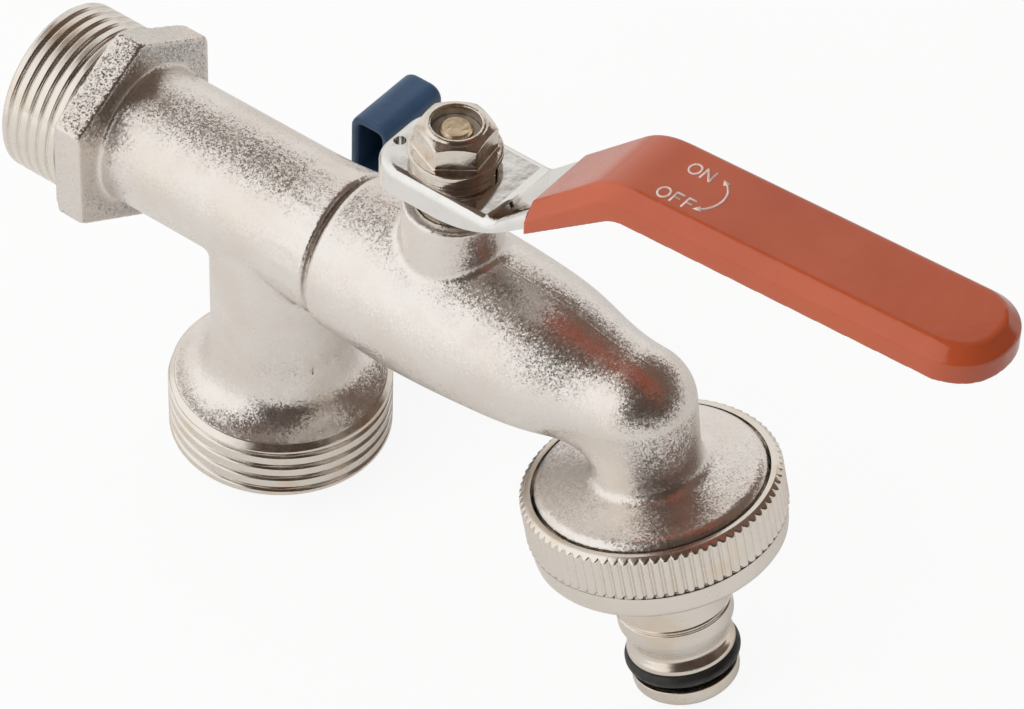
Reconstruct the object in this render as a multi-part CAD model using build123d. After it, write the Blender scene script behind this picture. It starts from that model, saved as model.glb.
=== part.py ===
from build123d import *
import math
import os

# Dual outlet garden tap, in millimetres.
# Frame: origin on the inlet axis at the back face of the hexagon, +X from the wall to the spout, +Z up.

# Threads: the wall thread, and the hose thread that both outlets share
inlet_thread_r = 13.22
inlet_thread_pitch = 1.814
hose_thread_r = 16.62
hose_thread_pitch = 2.309
thread_depth_share = 0.5
thread_land_share = 0.22
thread_lead = 0.9

# Inlet end
inlet_thread_len = 11.4
inlet_thread_lead = 0.45
inlet_bore_r = 7.6
hex_across_flats = 28.6
hex_len = 5.0
hex_chamfer = 0.8
hex_chamfer_len = 0.4
pipe_r = 10.55
pipe_foot_fillet = 0.5

# Joint between the inlet half and the outlet half
seam_x = 43.3
seam_lip_r = 11.2
seam_flare = 8.0
seam_gap = 0.5
seam_bevel = 0.7
spigot_r = 10.2
spigot_clear = 0.05
joint_ring_section = 1.2

# Branch outlet below the inlet pipe
branch_x = 30.0
branch_pipe_r = 10.2
branch_shoulder_top = 30.9
branch_ring_top = 32.6
branch_ring_len = 10.7
branch_mouth_r = 12.0
branch_mouth_depth = 6.5
tee_fillet = 2.0

# Main ball valve under the red lever
stem_x = 61.1
main_ball_r = 8.3
main_ball_bore_r = 5.0
ball_clear = 0.35
seat_clear = 0.03
main_seat_out = 8.0
main_seat_in = 5.2
main_stem_r = 3.4
main_stem_flange_r = 4.3
main_tang_w = 3.0
main_tang_depth = 2.0
boss_r = 7.3
boss_top = 19.8
boss_fillet = 1.6
gland_r = 5.2
gland_depth = 3.2
gland_proud = 1.6

# Branch ball valve with the blue butterfly handle
branch_ball_drop = 22.5
branch_ball_r = 7.0
branch_ball_bore_r = 4.3
branch_seat_out = 6.8
branch_seat_in = 4.4
branch_stem_r = 2.8
branch_stem_flange_r = 3.6
branch_tang_w = 2.6
branch_tang_depth = 1.8
branch_boss_r = 5.8
branch_boss_inset = 0.42
retainer_len = 4.0
retainer_r = 8.2
retainer_hex = 9.4
retainer_socket_depth = 2.0

# Fits shared by both valves
stem_clear = 0.05
piece_clear = 0.05
stem_flange_t = 1.1
thrust_washer_t = 0.8
packing_section = 0.9
packing_pitch = 2.4

# Outlet half: ball barrel, tapering spout, elbow and flange
spout_rise = 0.9
barrel_seam_r = 11.9
barrel_seam_slope = 0.05
barrel_ball_r = 12.5
barrel_ball_x = 57.6
barrel_front_r = 12.1
barrel_front_x = 69.4
taper_mid_r = 10.85
taper_mid_x = 80.4
elbow_x = 93.3
elbow_r = 8.5
outlet_tilt = 14.0
spout_neck_r = 7.8
spout_bore_r = 5.6
elbow_fillet = 3.0
connector_drop = 13.0
flange_relief = 0.12
flange_rise = 0.9
flange_cone = 0.9
flange_bevel = 0.8
flange_fillet = 1.6
outlet_thread_len = 8.4

# Hose connector screwed on the spout
connector_clear = 0.35
connector_wall = 1.3
knurl_teeth = 80
knurl_depth = 0.45
knurl_land = 0.48
knurl_start = 0.6
knurl_end = 7.0
connector_lip_step = 0.5
connector_len = 11.0
connector_floor = 1.6
connector_bevel = 0.7
washer_t = 0.9
nipple_bore_r = 4.9
collar_r = 8.35
collar_line_run = 2.8
collar_line_w = 0.45
collar_line_depth = 0.22
waist_r = 6.9
waist_run = 3.3
seal_land_r = 7.85
seal_land_run = 2.1
seal_groove_w = 3.3
seal_section = 2.3
seal_proud = 0.55
nipple_tip_r = 7.75
nipple_tip_run = 3.0
nipple_len = 36.3
tip_chamfer = 1.0

# Red lever: pressed channel with a moulded sleeve
plate_top = 27.2
sheet_t = 1.7
foot_half_w = 7.4
foot_rim = 4.2
foot_edge_r = 1.4
plate_back = 10.0
plate_corner_r = 5.0
channel_half_w = 7.1
channel_depth = 3.8
channel_edge_r = 1.7
lever_foot_run = 11.2
lever_foot_r = 3.0
lever_heel_run = 8.4
lever_heel_r = 20.0
lever_ramp_run = 18.7
lever_ramp_angle = 43.1
lever_crest_r = 10.0
lever_pitch = 2.7
lever_tip_x = 149.2
lever_tip_r = 7.3
sleeve_start_run = 17.4
sleeve_wall = 0.7
sleeve_bevel = 1.9
sleeve_fit = 0.03
indicator_hole_r = 0.9
indicator_hole_inset = 1.8
indicator_hole_side = -1.8
top_face_lean = 60.0

# Lever fastening
stud_r = 2.3
stud_chamfer = 0.35
stud_across_flats = 3.6
spring_washer_r = 6.2
spring_washer_t = 1.5
spring_washer_slit = 0.9
spring_washer_turn = 14.0
nut_across_flats = 10.0
nut_turn = -22.0
nut_flange_r = 6.6
nut_flange_t = 0.9
nut_hex_h = 4.0
nut_chamfer_h = 0.7
nut_crown_r = 4.55
nut_collar_r = 4.3
nut_collar_h = 0.4
nut_collar_taper = 0.2
nut_insert_r = 3.5
nut_insert_t = 0.9
nut_insert_sink = 1.6
stud_sink = 0.8

# Blue butterfly handle
handle_gap = 1.6
handle_hub_r = 6.6
handle_hub_t = 5.2
handle_floor_t = 2.6
handle_half_len = 24.0
handle_half_w = 3.5
handle_wing_near = 20.5
handle_wing_far = 33.5
handle_wing_root = 9.5
handle_slope_run = 7.5
handle_tip_r = 2.2
handle_edge_r = 0.8
handle_rim = 1.3
handle_pocket_roof = 2.2
handle_stud_r = 1.95
handle_stud_flats = 2.8
handle_nut_flats = 7.0
handle_nut_h = 3.2
handle_nut_seat = 0.6

# Derived places
hex_r = hex_across_flats / math.sqrt(3)
main_chamber_r = main_ball_r + ball_clear
branch_chamber_r = branch_ball_r + ball_clear
branch_ring_bottom = branch_ring_top + branch_ring_len
tilt = math.radians(outlet_tilt)
outlet_dir = Vector(math.sin(tilt), 0, -math.cos(tilt))
barrel_start_x = seam_x + seam_gap
rise = math.radians(spout_rise)
spout_dir = Vector(math.cos(rise), 0, math.sin(rise))
elbow_run = (elbow_x - barrel_start_x) / math.cos(rise)
elbow_point = Vector(barrel_start_x, 0, 0) + spout_dir * elbow_run
connector_top = elbow_point + outlet_dir * connector_drop
outlet_thread_r = hose_thread_r - flange_relief
flange_r = outlet_thread_r - flange_bevel
branch_boss_reach = hose_thread_r - branch_boss_inset
connector_bore_r = outlet_thread_r + connector_clear
knurl_root_r = connector_bore_r + connector_wall
connector_r = knurl_root_r + knurl_depth
connector_lip_r = connector_r - connector_lip_step
seal_end = nipple_len - nipple_tip_run
seal_land_start = seal_end - seal_groove_w
waist_end = seal_land_start - seal_land_run
collar_end = waist_end - waist_run
collar_line = collar_end - collar_line_run
spigot_end_x = stem_x - main_seat_out
joint_ring_x = spigot_end_x - joint_ring_section
main_shoulder_z = main_chamber_r + ball_clear + stem_flange_t + thrust_washer_t
branch_shoulder_y = branch_chamber_r + ball_clear + stem_flange_t + thrust_washer_t
washer_top = plate_top + spring_washer_t
nut_top = washer_top + nut_flange_t + nut_hex_h + nut_collar_h
handle_hub_low = branch_boss_reach + handle_gap
handle_floor = handle_hub_low + handle_floor_t
plate_back_x = stem_x - plate_back
sleeve_start_x = stem_x + sleeve_start_run

# Local frames: the local Z axis runs along each turning axis
inlet_axis = Plane.YZ
branch_axis = Plane(origin=(branch_x, 0, 0), x_dir=(1, 0, 0), z_dir=(0, 0, -1))
main_stem_axis = Plane(origin=(stem_x, 0, 0), x_dir=(1, 0, 0), z_dir=(0, 0, 1))
main_ball_axis = Plane(origin=(stem_x, 0, 0), x_dir=(0, 1, 0), z_dir=(1, 0, 0))
branch_stem_axis = Plane(origin=(branch_x, 0, -branch_ball_drop), x_dir=(0, 0, 1), z_dir=(0, 1, 0))
branch_ball_axis = Plane(origin=(branch_x, 0, -branch_ball_drop), x_dir=(1, 0, 0), z_dir=(0, 0, -1))
spout_axis = Plane(origin=(barrel_start_x, 0, 0), x_dir=(0, 1, 0), z_dir=spout_dir)
outlet_axis = Plane(
    origin=connector_top,
    x_dir=(math.cos(tilt), 0, math.sin(tilt)),
    z_dir=outlet_dir,
)


def turned(corners):
    """Solid of revolution about the local Z axis from (radius, height) corners."""
    outline = Polyline(*corners, close=True)
    return revolve(Plane.XZ * make_face(outline), axis=Axis.Z)


def rod(radius, low, high):
    """Cylinder on the local Z axis between two heights."""
    return Pos(0, 0, low) * Cylinder(radius, high - low, align=(Align.CENTER, Align.CENTER, Align.MIN))


def tube(inner, outer, low, high):
    """Plain ring on the local Z axis between two heights."""
    return turned([(inner, low), (outer, low), (outer, high), (inner, high)])


def hexagon(across_flats, low, high):
    """Hexagonal bar on the local Z axis, with corners on the local X axis."""
    face = RegularPolygon(across_flats / math.sqrt(3), 6)
    return extrude(Pos(0, 0, low) * face, amount=high - low)


def two_flats(radius, across, low, high):
    """Round bar with two parallel flats that face the local Y axis."""
    return rod(radius, low, high) & Pos(0, 0, low) * Box(
        2 * radius, across, high - low, align=(Align.CENTER, Align.CENTER, Align.MIN)
    )


def seal_ring(middle_r, section, height):
    """Round-section ring on the local Z axis."""
    return Pos(0, 0, height) * Torus(middle_r, section / 2)


def thread_ridges(radius, pitch, low, high):
    """Outline corners of a thread's ridges along local Z, as plain rings between two heights."""
    grooves = int((high - low) / pitch)
    margin = (high - low - grooves * pitch) / 2
    root_r = radius - thread_depth_share * pitch
    half_floor = thread_land_share * pitch / 2
    half_mouth = pitch / 2 - half_floor
    corners = [(radius, low)]
    for groove in range(grooves):
        middle = low + margin + (groove + 0.5) * pitch
        corners += [
            (radius, middle - half_mouth),
            (root_r, middle - half_floor),
            (root_r, middle + half_floor),
            (radius, middle + half_mouth),
        ]
    return corners + [(radius, high)]


def inlet_body():
    """Casting with the wall thread, hexagon, main pipe, branch and its stem boss."""
    thread_end = -inlet_thread_len
    shank = turned(
        [
            (0, thread_end),
            (inlet_thread_r - inlet_thread_lead, thread_end),
            *thread_ridges(inlet_thread_r, inlet_thread_pitch, thread_end + inlet_thread_lead, 0),
            (inlet_thread_r, hex_len / 2),
            (pipe_r, hex_len / 2),
            (pipe_r, seam_x - seam_flare),
            (seam_lip_r, seam_x - seam_gap),
            (spigot_r, seam_x - seam_gap),
            (spigot_r, spigot_end_x),
            (0, spigot_end_x),
        ]
    )
    crown = turned(
        [
            (0, 0),
            (hex_r - hex_chamfer, 0),
            (hex_r, hex_chamfer_len),
            (hex_r, hex_len - hex_chamfer_len),
            (hex_r - hex_chamfer, hex_len),
            (0, hex_len),
        ]
    )
    nut = Rot(0, 0, 90) * hexagon(hex_across_flats, 0, hex_len) & crown
    casting = inlet_axis * (shank + nut)
    branch = branch_axis * turned(
        [
            (0, 0),
            (branch_pipe_r, 0),
            (branch_pipe_r, branch_shoulder_top),
            (hose_thread_r - thread_lead, branch_ring_top),
            *thread_ridges(
                hose_thread_r, hose_thread_pitch, branch_ring_top + thread_lead, branch_ring_bottom - thread_lead
            ),
            (hose_thread_r - thread_lead, branch_ring_bottom),
            (0, branch_ring_bottom),
        ]
    )
    bare = casting
    casting = bare + branch
    casting = fillet(new_edges(bare, branch, combined=casting), tee_fillet)
    shoulder_edges = [
        edge
        for edge in casting.edges().filter_by(GeomType.CIRCLE)
        if abs(edge.center().Z + branch_shoulder_top) < piece_clear and edge.radius < branch_pipe_r + piece_clear
    ]
    casting = fillet(shoulder_edges, tee_fillet)
    foot_edges = [
        edge
        for edge in casting.edges().filter_by(GeomType.CIRCLE)
        if abs(edge.center().X - hex_len) < piece_clear and abs(edge.radius - pipe_r) < piece_clear
    ]
    casting = fillet(foot_edges, pipe_foot_fillet)
    casting += branch_stem_axis * rod(branch_boss_r, 0, branch_boss_reach)
    waterway = inlet_axis * (
        rod(inlet_bore_r, thread_end, seam_x - seam_flare)
        + rod(main_ball_bore_r, 0, spigot_end_x)
    )
    valve_pocket = branch_axis * (
        rod(branch_ball_bore_r, 0, branch_ball_drop)
        + rod(branch_chamber_r, branch_ball_drop - branch_seat_out, branch_ball_drop + branch_seat_out)
        + rod(retainer_r + piece_clear, branch_ball_drop + branch_seat_out, branch_ring_bottom)
        + rod(branch_mouth_r, branch_ring_bottom - branch_mouth_depth, branch_ring_bottom)
    )
    stem_hole = branch_stem_axis * (
        rod(branch_stem_r + stem_clear, 0, branch_boss_reach)
        + rod(branch_stem_flange_r + ball_clear, 0, branch_shoulder_y)
    )
    ring_groove = inlet_axis * tube(
        spigot_r - joint_ring_section, spigot_r + piece_clear, joint_ring_x - joint_ring_section, joint_ring_x
    )
    return casting - waterway - valve_pocket - stem_hole - ring_groove


def joint_ring():
    """Sealing ring between the spigot of the inlet half and the outlet half."""
    middle = spigot_r - joint_ring_section / 2
    return inlet_axis * seal_ring(middle, joint_ring_section - piece_clear, joint_ring_x - joint_ring_section / 2)


def outlet_body():
    """Casting with the ball barrel, stem boss, spout, elbow, flange and outlet thread."""
    crest = Spline(
        (barrel_seam_r, seam_bevel),
        (barrel_ball_r, barrel_ball_x - barrel_start_x),
        (barrel_front_r, barrel_front_x - barrel_start_x),
        (taper_mid_r, taper_mid_x - barrel_start_x),
        (elbow_r, elbow_run),
        tangents=((barrel_seam_slope, 1), (0, 1)),
    )
    nose = CenterArc((0, elbow_run), elbow_r, 0, 90)
    closing = Polyline(
        (0, elbow_run + elbow_r),
        (0, 0),
        (barrel_seam_r - seam_bevel, 0),
        (barrel_seam_r, seam_bevel),
    )
    barrel = spout_axis * revolve(Plane.XZ * make_face(crest + nose + closing), axis=Axis.Z)
    neck = outlet_axis * turned(
        [
            (0, -connector_drop),
            (spout_neck_r, -connector_drop),
            (spout_neck_r, -flange_rise - flange_cone),
            (flange_r, -flange_rise),
            (outlet_thread_r, -flange_rise + flange_bevel),
            *thread_ridges(outlet_thread_r, hose_thread_pitch, 0, outlet_thread_len - thread_lead),
            (outlet_thread_r - thread_lead, outlet_thread_len),
            (0, outlet_thread_len),
        ]
    )
    casting = barrel + neck
    casting = fillet(new_edges(barrel, neck, combined=casting), elbow_fillet)
    foot_edges = [
        edge
        for edge in casting.edges().filter_by(GeomType.CIRCLE)
        if abs(edge.radius - spout_neck_r) < piece_clear
        and abs((edge.arc_center - connector_top).length - flange_rise - flange_cone) < piece_clear
    ]
    casting = fillet(foot_edges, flange_fillet)
    boss = main_stem_axis * rod(boss_r, 0, boss_top)
    bare = casting
    casting = bare + boss
    casting = fillet(new_edges(bare, boss, combined=casting), boss_fillet)
    chamber = inlet_axis * (
        rod(spigot_r + spigot_clear, seam_x, spigot_end_x)
        + rod(main_chamber_r, spigot_end_x, stem_x + main_seat_out)
    )
    chamber += spout_axis * (
        rod(spout_bore_r, stem_x - barrel_start_x, elbow_run) + Pos(0, 0, elbow_run) * Sphere(spout_bore_r)
    )
    chamber += outlet_axis * rod(spout_bore_r, -connector_drop, outlet_thread_len)
    stem_hole = main_stem_axis * (
        rod(main_stem_r + stem_clear, 0, boss_top)
        + rod(main_stem_flange_r + ball_clear, 0, main_shoulder_z)
        + rod(gland_r + piece_clear, boss_top - gland_depth, boss_top)
    )
    return casting - chamber - stem_hole


def ball(radius, bore_r, tang_w, tang_depth):
    """Ball bored along the local Z axis, with a driving slot on its local X side."""
    slot = Pos(radius - tang_depth, 0, 0) * Box(
        2 * tang_depth, tang_w, 2 * radius, align=(Align.MIN, Align.CENTER, Align.CENTER)
    )
    return Sphere(radius) - rod(bore_r, -radius, radius) - slot


def ball_seat(ball_r, bore_r, outer_r, inner_h, outer_h):
    """Seat ring dished to the ball, on the local +Z side of it."""
    return tube(bore_r, outer_r, inner_h, outer_h) - Sphere(ball_r + seat_clear)


def valve_stem(stem_r, flange_r_stem, tang_w, tang_depth, ball_r, shoulder, top):
    """Stem along local Z: driving tang, inner flange, shaft and two packing grooves."""
    flange_low = shoulder - thrust_washer_t - piece_clear - stem_flange_t
    tang_low = ball_r - tang_depth + piece_clear
    tang = two_flats(flange_r_stem, tang_w - 2 * piece_clear, tang_low, flange_low + piece_clear)
    flange_disc = rod(flange_r_stem, flange_low, flange_low + stem_flange_t)
    shaft = rod(stem_r, flange_low, top)
    stem = tang + flange_disc + shaft
    for height in packing_heights(shoulder):
        low = height - packing_section / 2 - piece_clear
        high = height + packing_section / 2 + piece_clear
        stem -= tube(stem_r - packing_section, stem_r + piece_clear, low, high)
    return stem


def packing_heights(shoulder):
    """Heights of the two packing rings above the stem shoulder."""
    return [shoulder + packing_pitch, shoulder + 2 * packing_pitch]


def packing_ring(stem_r, height):
    """Packing ring in its groove on a stem."""
    return seal_ring(stem_r - packing_section / 2, packing_section - piece_clear, height)


def thrust_washer(stem_r, flange_r_stem, shoulder):
    """Slip washer between the stem flange and the body."""
    return tube(stem_r + piece_clear, flange_r_stem, shoulder - thrust_washer_t, shoulder - piece_clear)


def main_stem():
    """Stem of the main valve with flats for the lever and a stud for the nut."""
    plate_seat = plate_top - sheet_t
    stem = valve_stem(
        main_stem_r, main_stem_flange_r, main_tang_w, main_tang_depth, main_ball_r, main_shoulder_z, plate_seat
    )
    stem += two_flats(stud_r, stud_across_flats, plate_seat, plate_top)
    stud = rod(stud_r, plate_top, nut_top - stud_sink)
    return main_stem_axis * (stem + chamfer(stud.edges().group_by(Axis.Z)[-1], stud_chamfer))


def main_gland():
    """Packing gland screwed into the boss, standing a little proud of it."""
    low = boss_top - gland_depth + piece_clear
    high = boss_top + gland_proud
    return main_stem_axis * tube(main_stem_r + stem_clear, gland_r, low, high)


def offset_line(points, distance):
    """Corner points of a line moved sideways to its left by a distance."""
    shifted = []
    for first, second in zip(points, points[1:]):
        angle = math.atan2(second[1] - first[1], second[0] - first[0])
        step = (-math.sin(angle) * distance, math.cos(angle) * distance)
        shifted.append((first[0] + step[0], first[1] + step[1], angle))
    corners = [shifted[0][:2]]
    for before, after in zip(shifted, shifted[1:]):
        turn = math.sin(after[2] - before[2])
        gap_x = after[0] - before[0]
        gap_z = after[1] - before[1]
        along = (gap_x * math.sin(after[2]) - gap_z * math.cos(after[2])) / turn
        corners.append((before[0] + along * math.cos(before[2]), before[1] + along * math.sin(before[2])))
    last = points[-1]
    end_angle = shifted[-1][2]
    corners.append((last[0] - math.sin(end_angle) * distance, last[1] + math.cos(end_angle) * distance))
    return corners


def lever_top_line():
    """Corner points of the lever's top in side view, from behind the stem to beyond the tip."""
    foot_x = stem_x + lever_foot_run
    crest_x = foot_x + lever_ramp_run
    crest_z = plate_top + lever_ramp_run * math.tan(math.radians(lever_ramp_angle))
    far_x = lever_tip_x + plate_back
    far_z = crest_z + (far_x - crest_x) * math.tan(math.radians(lever_pitch))
    return [(stem_x - 2 * plate_back, plate_top), (foot_x, plate_top), (crest_x, crest_z), (far_x, far_z)]


def lever_rim_line():
    """Corner points of the lower edge of the lever's rim, shallower where the ramp begins."""
    under = offset_line(lever_top_line(), -channel_depth)
    rim_z = plate_top - foot_rim
    return [(stem_x - 2 * plate_back, rim_z), (stem_x + lever_heel_run, rim_z), under[2], under[3]]


def lever_side(raise_by, drop_by):
    """Side view of the lever, with its top raised and its rim lowered."""
    upper = offset_line(lever_top_line(), raise_by)
    lower = offset_line(lever_rim_line(), -drop_by)
    crest_under = lever_crest_r - channel_depth - drop_by
    top_edge = FilletPolyline(*upper, radius=[lever_foot_r - raise_by, lever_crest_r + raise_by])
    under_edge = FilletPolyline(*lower, radius=[lever_heel_r + drop_by, crest_under])
    ends = Line(upper[0], lower[0]) + Line(upper[-1], lower[-1])
    return make_face(top_edge + under_edge + ends)


def lever_bar(raise_by, drop_by, half_w, start_x, end_x, back_r, tip_r):
    """Lever-shaped bar between two ends, with rounded or square corners in plan."""
    side = extrude(Plane.XZ * lever_side(raise_by, drop_by), amount=half_w, both=True)
    length = end_x - start_x
    plan = Pos(start_x + length / 2, 0) * Rectangle(length, 2 * half_w)
    if back_r > 0:
        plan = fillet(plan.vertices().group_by(Axis.X)[0], back_r)
    if tip_r > 0:
        plan = fillet(plan.vertices().group_by(Axis.X)[-1], tip_r)
    return side & extrude(plan, amount=2 * lever_tip_x)


def top_edges(bar, square_x):
    """Edges that run round the top of a lever bar, without that of its square end."""
    least_z = math.cos(math.radians(top_face_lean))
    tops = [face for face in bar.faces() if face.normal_at().Z > least_z and abs(face.center().Y) < piece_clear]
    chosen = []
    for edge in ShapeList([edge for face in tops for edge in face.edges()]):
        shared = [face for face in tops if edge in face.edges()]
        extent = edge.bounding_box()
        reach = max(abs(extent.min.X - square_x), abs(extent.max.X - square_x))
        if len(shared) == 1 and reach > piece_clear:
            chosen.append(edge)
    return chosen


def lever_plate():
    """Pressed steel lever: a rimmed foot on the stem and a channel that reaches to the tip."""
    tip_x = lever_tip_x - sleeve_wall
    tip_r = lever_tip_r - sleeve_wall
    foot = lever_bar(0, 0, foot_half_w, plate_back_x, sleeve_start_x, plate_corner_r, 0)
    foot = fillet(top_edges(foot, sleeve_start_x), foot_edge_r)
    channel = lever_bar(0, 0, channel_half_w, sleeve_start_x, tip_x, 0, tip_r)
    channel = fillet(top_edges(channel, sleeve_start_x), channel_edge_r)
    hollow = lever_bar(
        -sheet_t,
        sheet_t,
        channel_half_w - sheet_t,
        plate_back_x + sheet_t,
        tip_x - sheet_t,
        plate_corner_r - sheet_t,
        tip_r - sheet_t,
    )
    stem_slot = main_stem_axis * two_flats(stud_r + piece_clear, stud_across_flats + piece_clear, 0, plate_top)
    mark = Pos(plate_back_x + indicator_hole_inset, indicator_hole_side, 0) * rod(indicator_hole_r, 0, plate_top)
    return foot + channel - hollow - stem_slot - mark


def lever_grip():
    """Moulded sleeve over the lever, with a flat top and bevelled shoulders."""
    half_w = channel_half_w + sleeve_wall
    sleeve = lever_bar(sleeve_wall, sleeve_wall, half_w, sleeve_start_x, lever_tip_x, 0, lever_tip_r)
    sleeve = chamfer(top_edges(sleeve, sleeve_start_x), sleeve_bevel)
    room = lever_bar(
        sleeve_fit,
        sleeve_fit,
        channel_half_w + sleeve_fit,
        stem_x,
        lever_tip_x - sleeve_wall + sleeve_fit,
        0,
        lever_tip_r - sleeve_wall,
    )
    room = fillet(top_edges(room, stem_x), channel_edge_r)
    return sleeve - room


def spring_washer():
    """Split washer between the lever and its nut."""
    washer = tube(stud_r + piece_clear, spring_washer_r, plate_top, washer_top)
    slit = Pos(0, 0, plate_top) * Box(
        spring_washer_r, spring_washer_slit, spring_washer_t, align=(Align.MIN, Align.CENTER, Align.MIN)
    )
    return main_stem_axis * Rot(0, 0, spring_washer_turn) * (washer - slit)


def lever_nut():
    """Flanged hexagon nut with a turned collar that holds its locking insert."""
    hex_low = washer_top + nut_flange_t
    hex_top = hex_low + nut_hex_h
    corner_r = nut_across_flats / math.sqrt(3)
    dome = turned(
        [
            (0, washer_top),
            (corner_r, washer_top),
            (corner_r, hex_top - nut_chamfer_h),
            (nut_crown_r, hex_top),
            (0, hex_top),
        ]
    )
    head = hexagon(nut_across_flats, hex_low, hex_top) & dome
    flange_disc = rod(nut_flange_r, washer_top, hex_low)
    collar = turned(
        [
            (0, hex_top),
            (nut_collar_r, hex_top),
            (nut_collar_r - nut_collar_taper, nut_top),
            (0, nut_top),
        ]
    )
    nut = flange_disc + head + collar
    nut -= rod(stud_r + piece_clear, washer_top, nut_top)
    nut -= rod(nut_insert_r, nut_top - nut_insert_sink - nut_insert_t, nut_top)
    return main_stem_axis * Rot(0, 0, nut_turn) * nut


def lever_nut_insert():
    """Plastic locking ring in the nut's collar."""
    low = nut_top - nut_insert_sink - nut_insert_t + piece_clear
    return main_stem_axis * tube(stud_r + piece_clear, nut_insert_r - piece_clear, low, nut_top - nut_insert_sink)


def branch_retainer():
    """Threaded ring with a hexagon socket that holds the branch seats in place."""
    low = branch_ball_drop + branch_seat_out + piece_clear
    high = low + retainer_len
    ring = tube(branch_ball_bore_r, retainer_r, low, high)
    return branch_axis * (ring - hexagon(retainer_hex, high - retainer_socket_depth, high))


def branch_stem():
    """Stem of the branch valve with flats and a stud for the handle."""
    stem = valve_stem(
        branch_stem_r,
        branch_stem_flange_r,
        branch_tang_w,
        branch_tang_depth,
        branch_ball_r,
        branch_shoulder_y,
        handle_hub_low,
    )
    stem += two_flats(handle_stud_r, handle_stud_flats, handle_hub_low, handle_floor)
    stem += rod(handle_stud_r, handle_floor, handle_floor + handle_nut_h + handle_nut_seat)
    return branch_stem_axis * stem


def branch_handle():
    """Butterfly handle: a hub with two hollow finger wings that flare away from the body."""
    hub_high = handle_hub_low + handle_hub_t
    flare_end = handle_wing_root + handle_wing_near - handle_hub_low
    wing_side = [
        (0, handle_hub_low),
        (handle_wing_root, handle_hub_low),
        (flare_end, handle_wing_near),
        (handle_half_len, handle_wing_near),
        (handle_half_len, handle_wing_far),
        (handle_half_len - handle_slope_run, handle_wing_far),
        (handle_wing_root, hub_high),
        (0, hub_high),
    ]
    side = make_face(Polyline(*wing_side, close=True))
    wing = extrude(Plane.XZ * side, amount=handle_half_w, both=True)
    far_corners = wing.edges().filter_by(Axis.Z).group_by(Axis.X)[-1]
    wing = fillet(far_corners, handle_tip_r)
    outer_edges = wing.faces().sort_by(Axis.Z)[-1].edges()
    wing = fillet(outer_edges, handle_edge_r)
    pocket_len = handle_half_len - flare_end - 2 * handle_rim
    slope = (handle_wing_far - hub_high) / (handle_half_len - handle_slope_run - handle_wing_root)
    roof = hub_high + (flare_end + handle_rim - handle_wing_root) * slope
    pocket_plan = RectangleRounded(pocket_len, 2 * (handle_half_w - handle_rim), handle_tip_r - handle_rim)
    pocket = Pos(handle_half_len - handle_rim - pocket_len / 2, 0, handle_wing_near) * extrude(
        pocket_plan, amount=roof - handle_pocket_roof - handle_wing_near
    )
    wing -= pocket
    handle = rod(handle_hub_r, handle_hub_low, hub_high) + wing + Rot(0, 0, 180) * wing
    handle -= rod(handle_nut_flats / math.sqrt(3) + handle_nut_seat, handle_floor, handle_wing_far)
    handle -= two_flats(
        handle_stud_r + piece_clear, handle_stud_flats + piece_clear, handle_hub_low, handle_floor
    )
    return branch_stem_axis * handle


def handle_nut():
    """Small hexagon nut in the hub of the butterfly handle."""
    high = handle_floor + handle_nut_h
    nut = hexagon(handle_nut_flats, handle_floor, high)
    return branch_stem_axis * (nut - rod(handle_stud_r + piece_clear, handle_floor, high))


def knurled_band():
    """Band with straight V grooves round its rim."""
    land = knurl_land / (2 * connector_r)
    corners = []
    for tooth in range(knurl_teeth):
        middle = 2 * math.pi * tooth / knurl_teeth
        for radius, angle in (
            (knurl_root_r, middle - math.pi / knurl_teeth),
            (connector_r, middle - land),
            (connector_r, middle + land),
        ):
            corners.append((radius * math.cos(angle), radius * math.sin(angle)))
    star = make_face(Polyline(*corners, close=True))
    return extrude(Pos(0, 0, knurl_start) * star, amount=knurl_end - knurl_start)


def hose_connector():
    """Knurled coupling ring and hose nipple, turned from one piece."""
    floor_top = connector_len - connector_floor
    groove_r = seal_land_r + seal_proud - seal_section
    outside = turned(
        [
            (0, 0),
            (knurl_root_r - connector_bevel, 0),
            (knurl_root_r, knurl_start),
            (knurl_root_r, knurl_end),
            (connector_lip_r, knurl_end),
            (connector_lip_r, connector_len - connector_bevel),
            (connector_lip_r - connector_bevel, connector_len),
            (collar_r, connector_len),
            (collar_r, collar_end),
            (waist_r, waist_end),
            (seal_land_r, seal_land_start - connector_bevel),
            (seal_land_r, seal_land_start),
            (groove_r, seal_land_start),
            (groove_r, seal_end),
            (nipple_tip_r, seal_end),
            (nipple_tip_r, nipple_len - tip_chamfer),
            (nipple_tip_r - tip_chamfer, nipple_len),
            (0, nipple_len),
        ]
    )
    inside = turned(
        [
            (0, -connector_bevel),
            (connector_bore_r, -connector_bevel),
            (connector_bore_r, floor_top),
            (nipple_bore_r, floor_top),
            (nipple_bore_r, nipple_len),
            (0, nipple_len),
        ]
    )
    line_groove = tube(collar_r - collar_line_depth, collar_r + piece_clear, collar_line, collar_line + collar_line_w)
    return outlet_axis * (outside + knurled_band() - inside - line_groove)


def connector_washer():
    """Flat sealing washer on the floor of the coupling ring."""
    floor_top = connector_len - connector_floor
    return outlet_axis * tube(spout_bore_r, connector_bore_r - connector_clear, floor_top - washer_t, floor_top)


def nipple_ring():
    """Sealing ring near the tip of the hose nipple."""
    middle = seal_land_r + seal_proud - seal_section / 2
    return outlet_axis * seal_ring(middle, seal_section - piece_clear, seal_land_start + seal_section / 2 + piece_clear)


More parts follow.
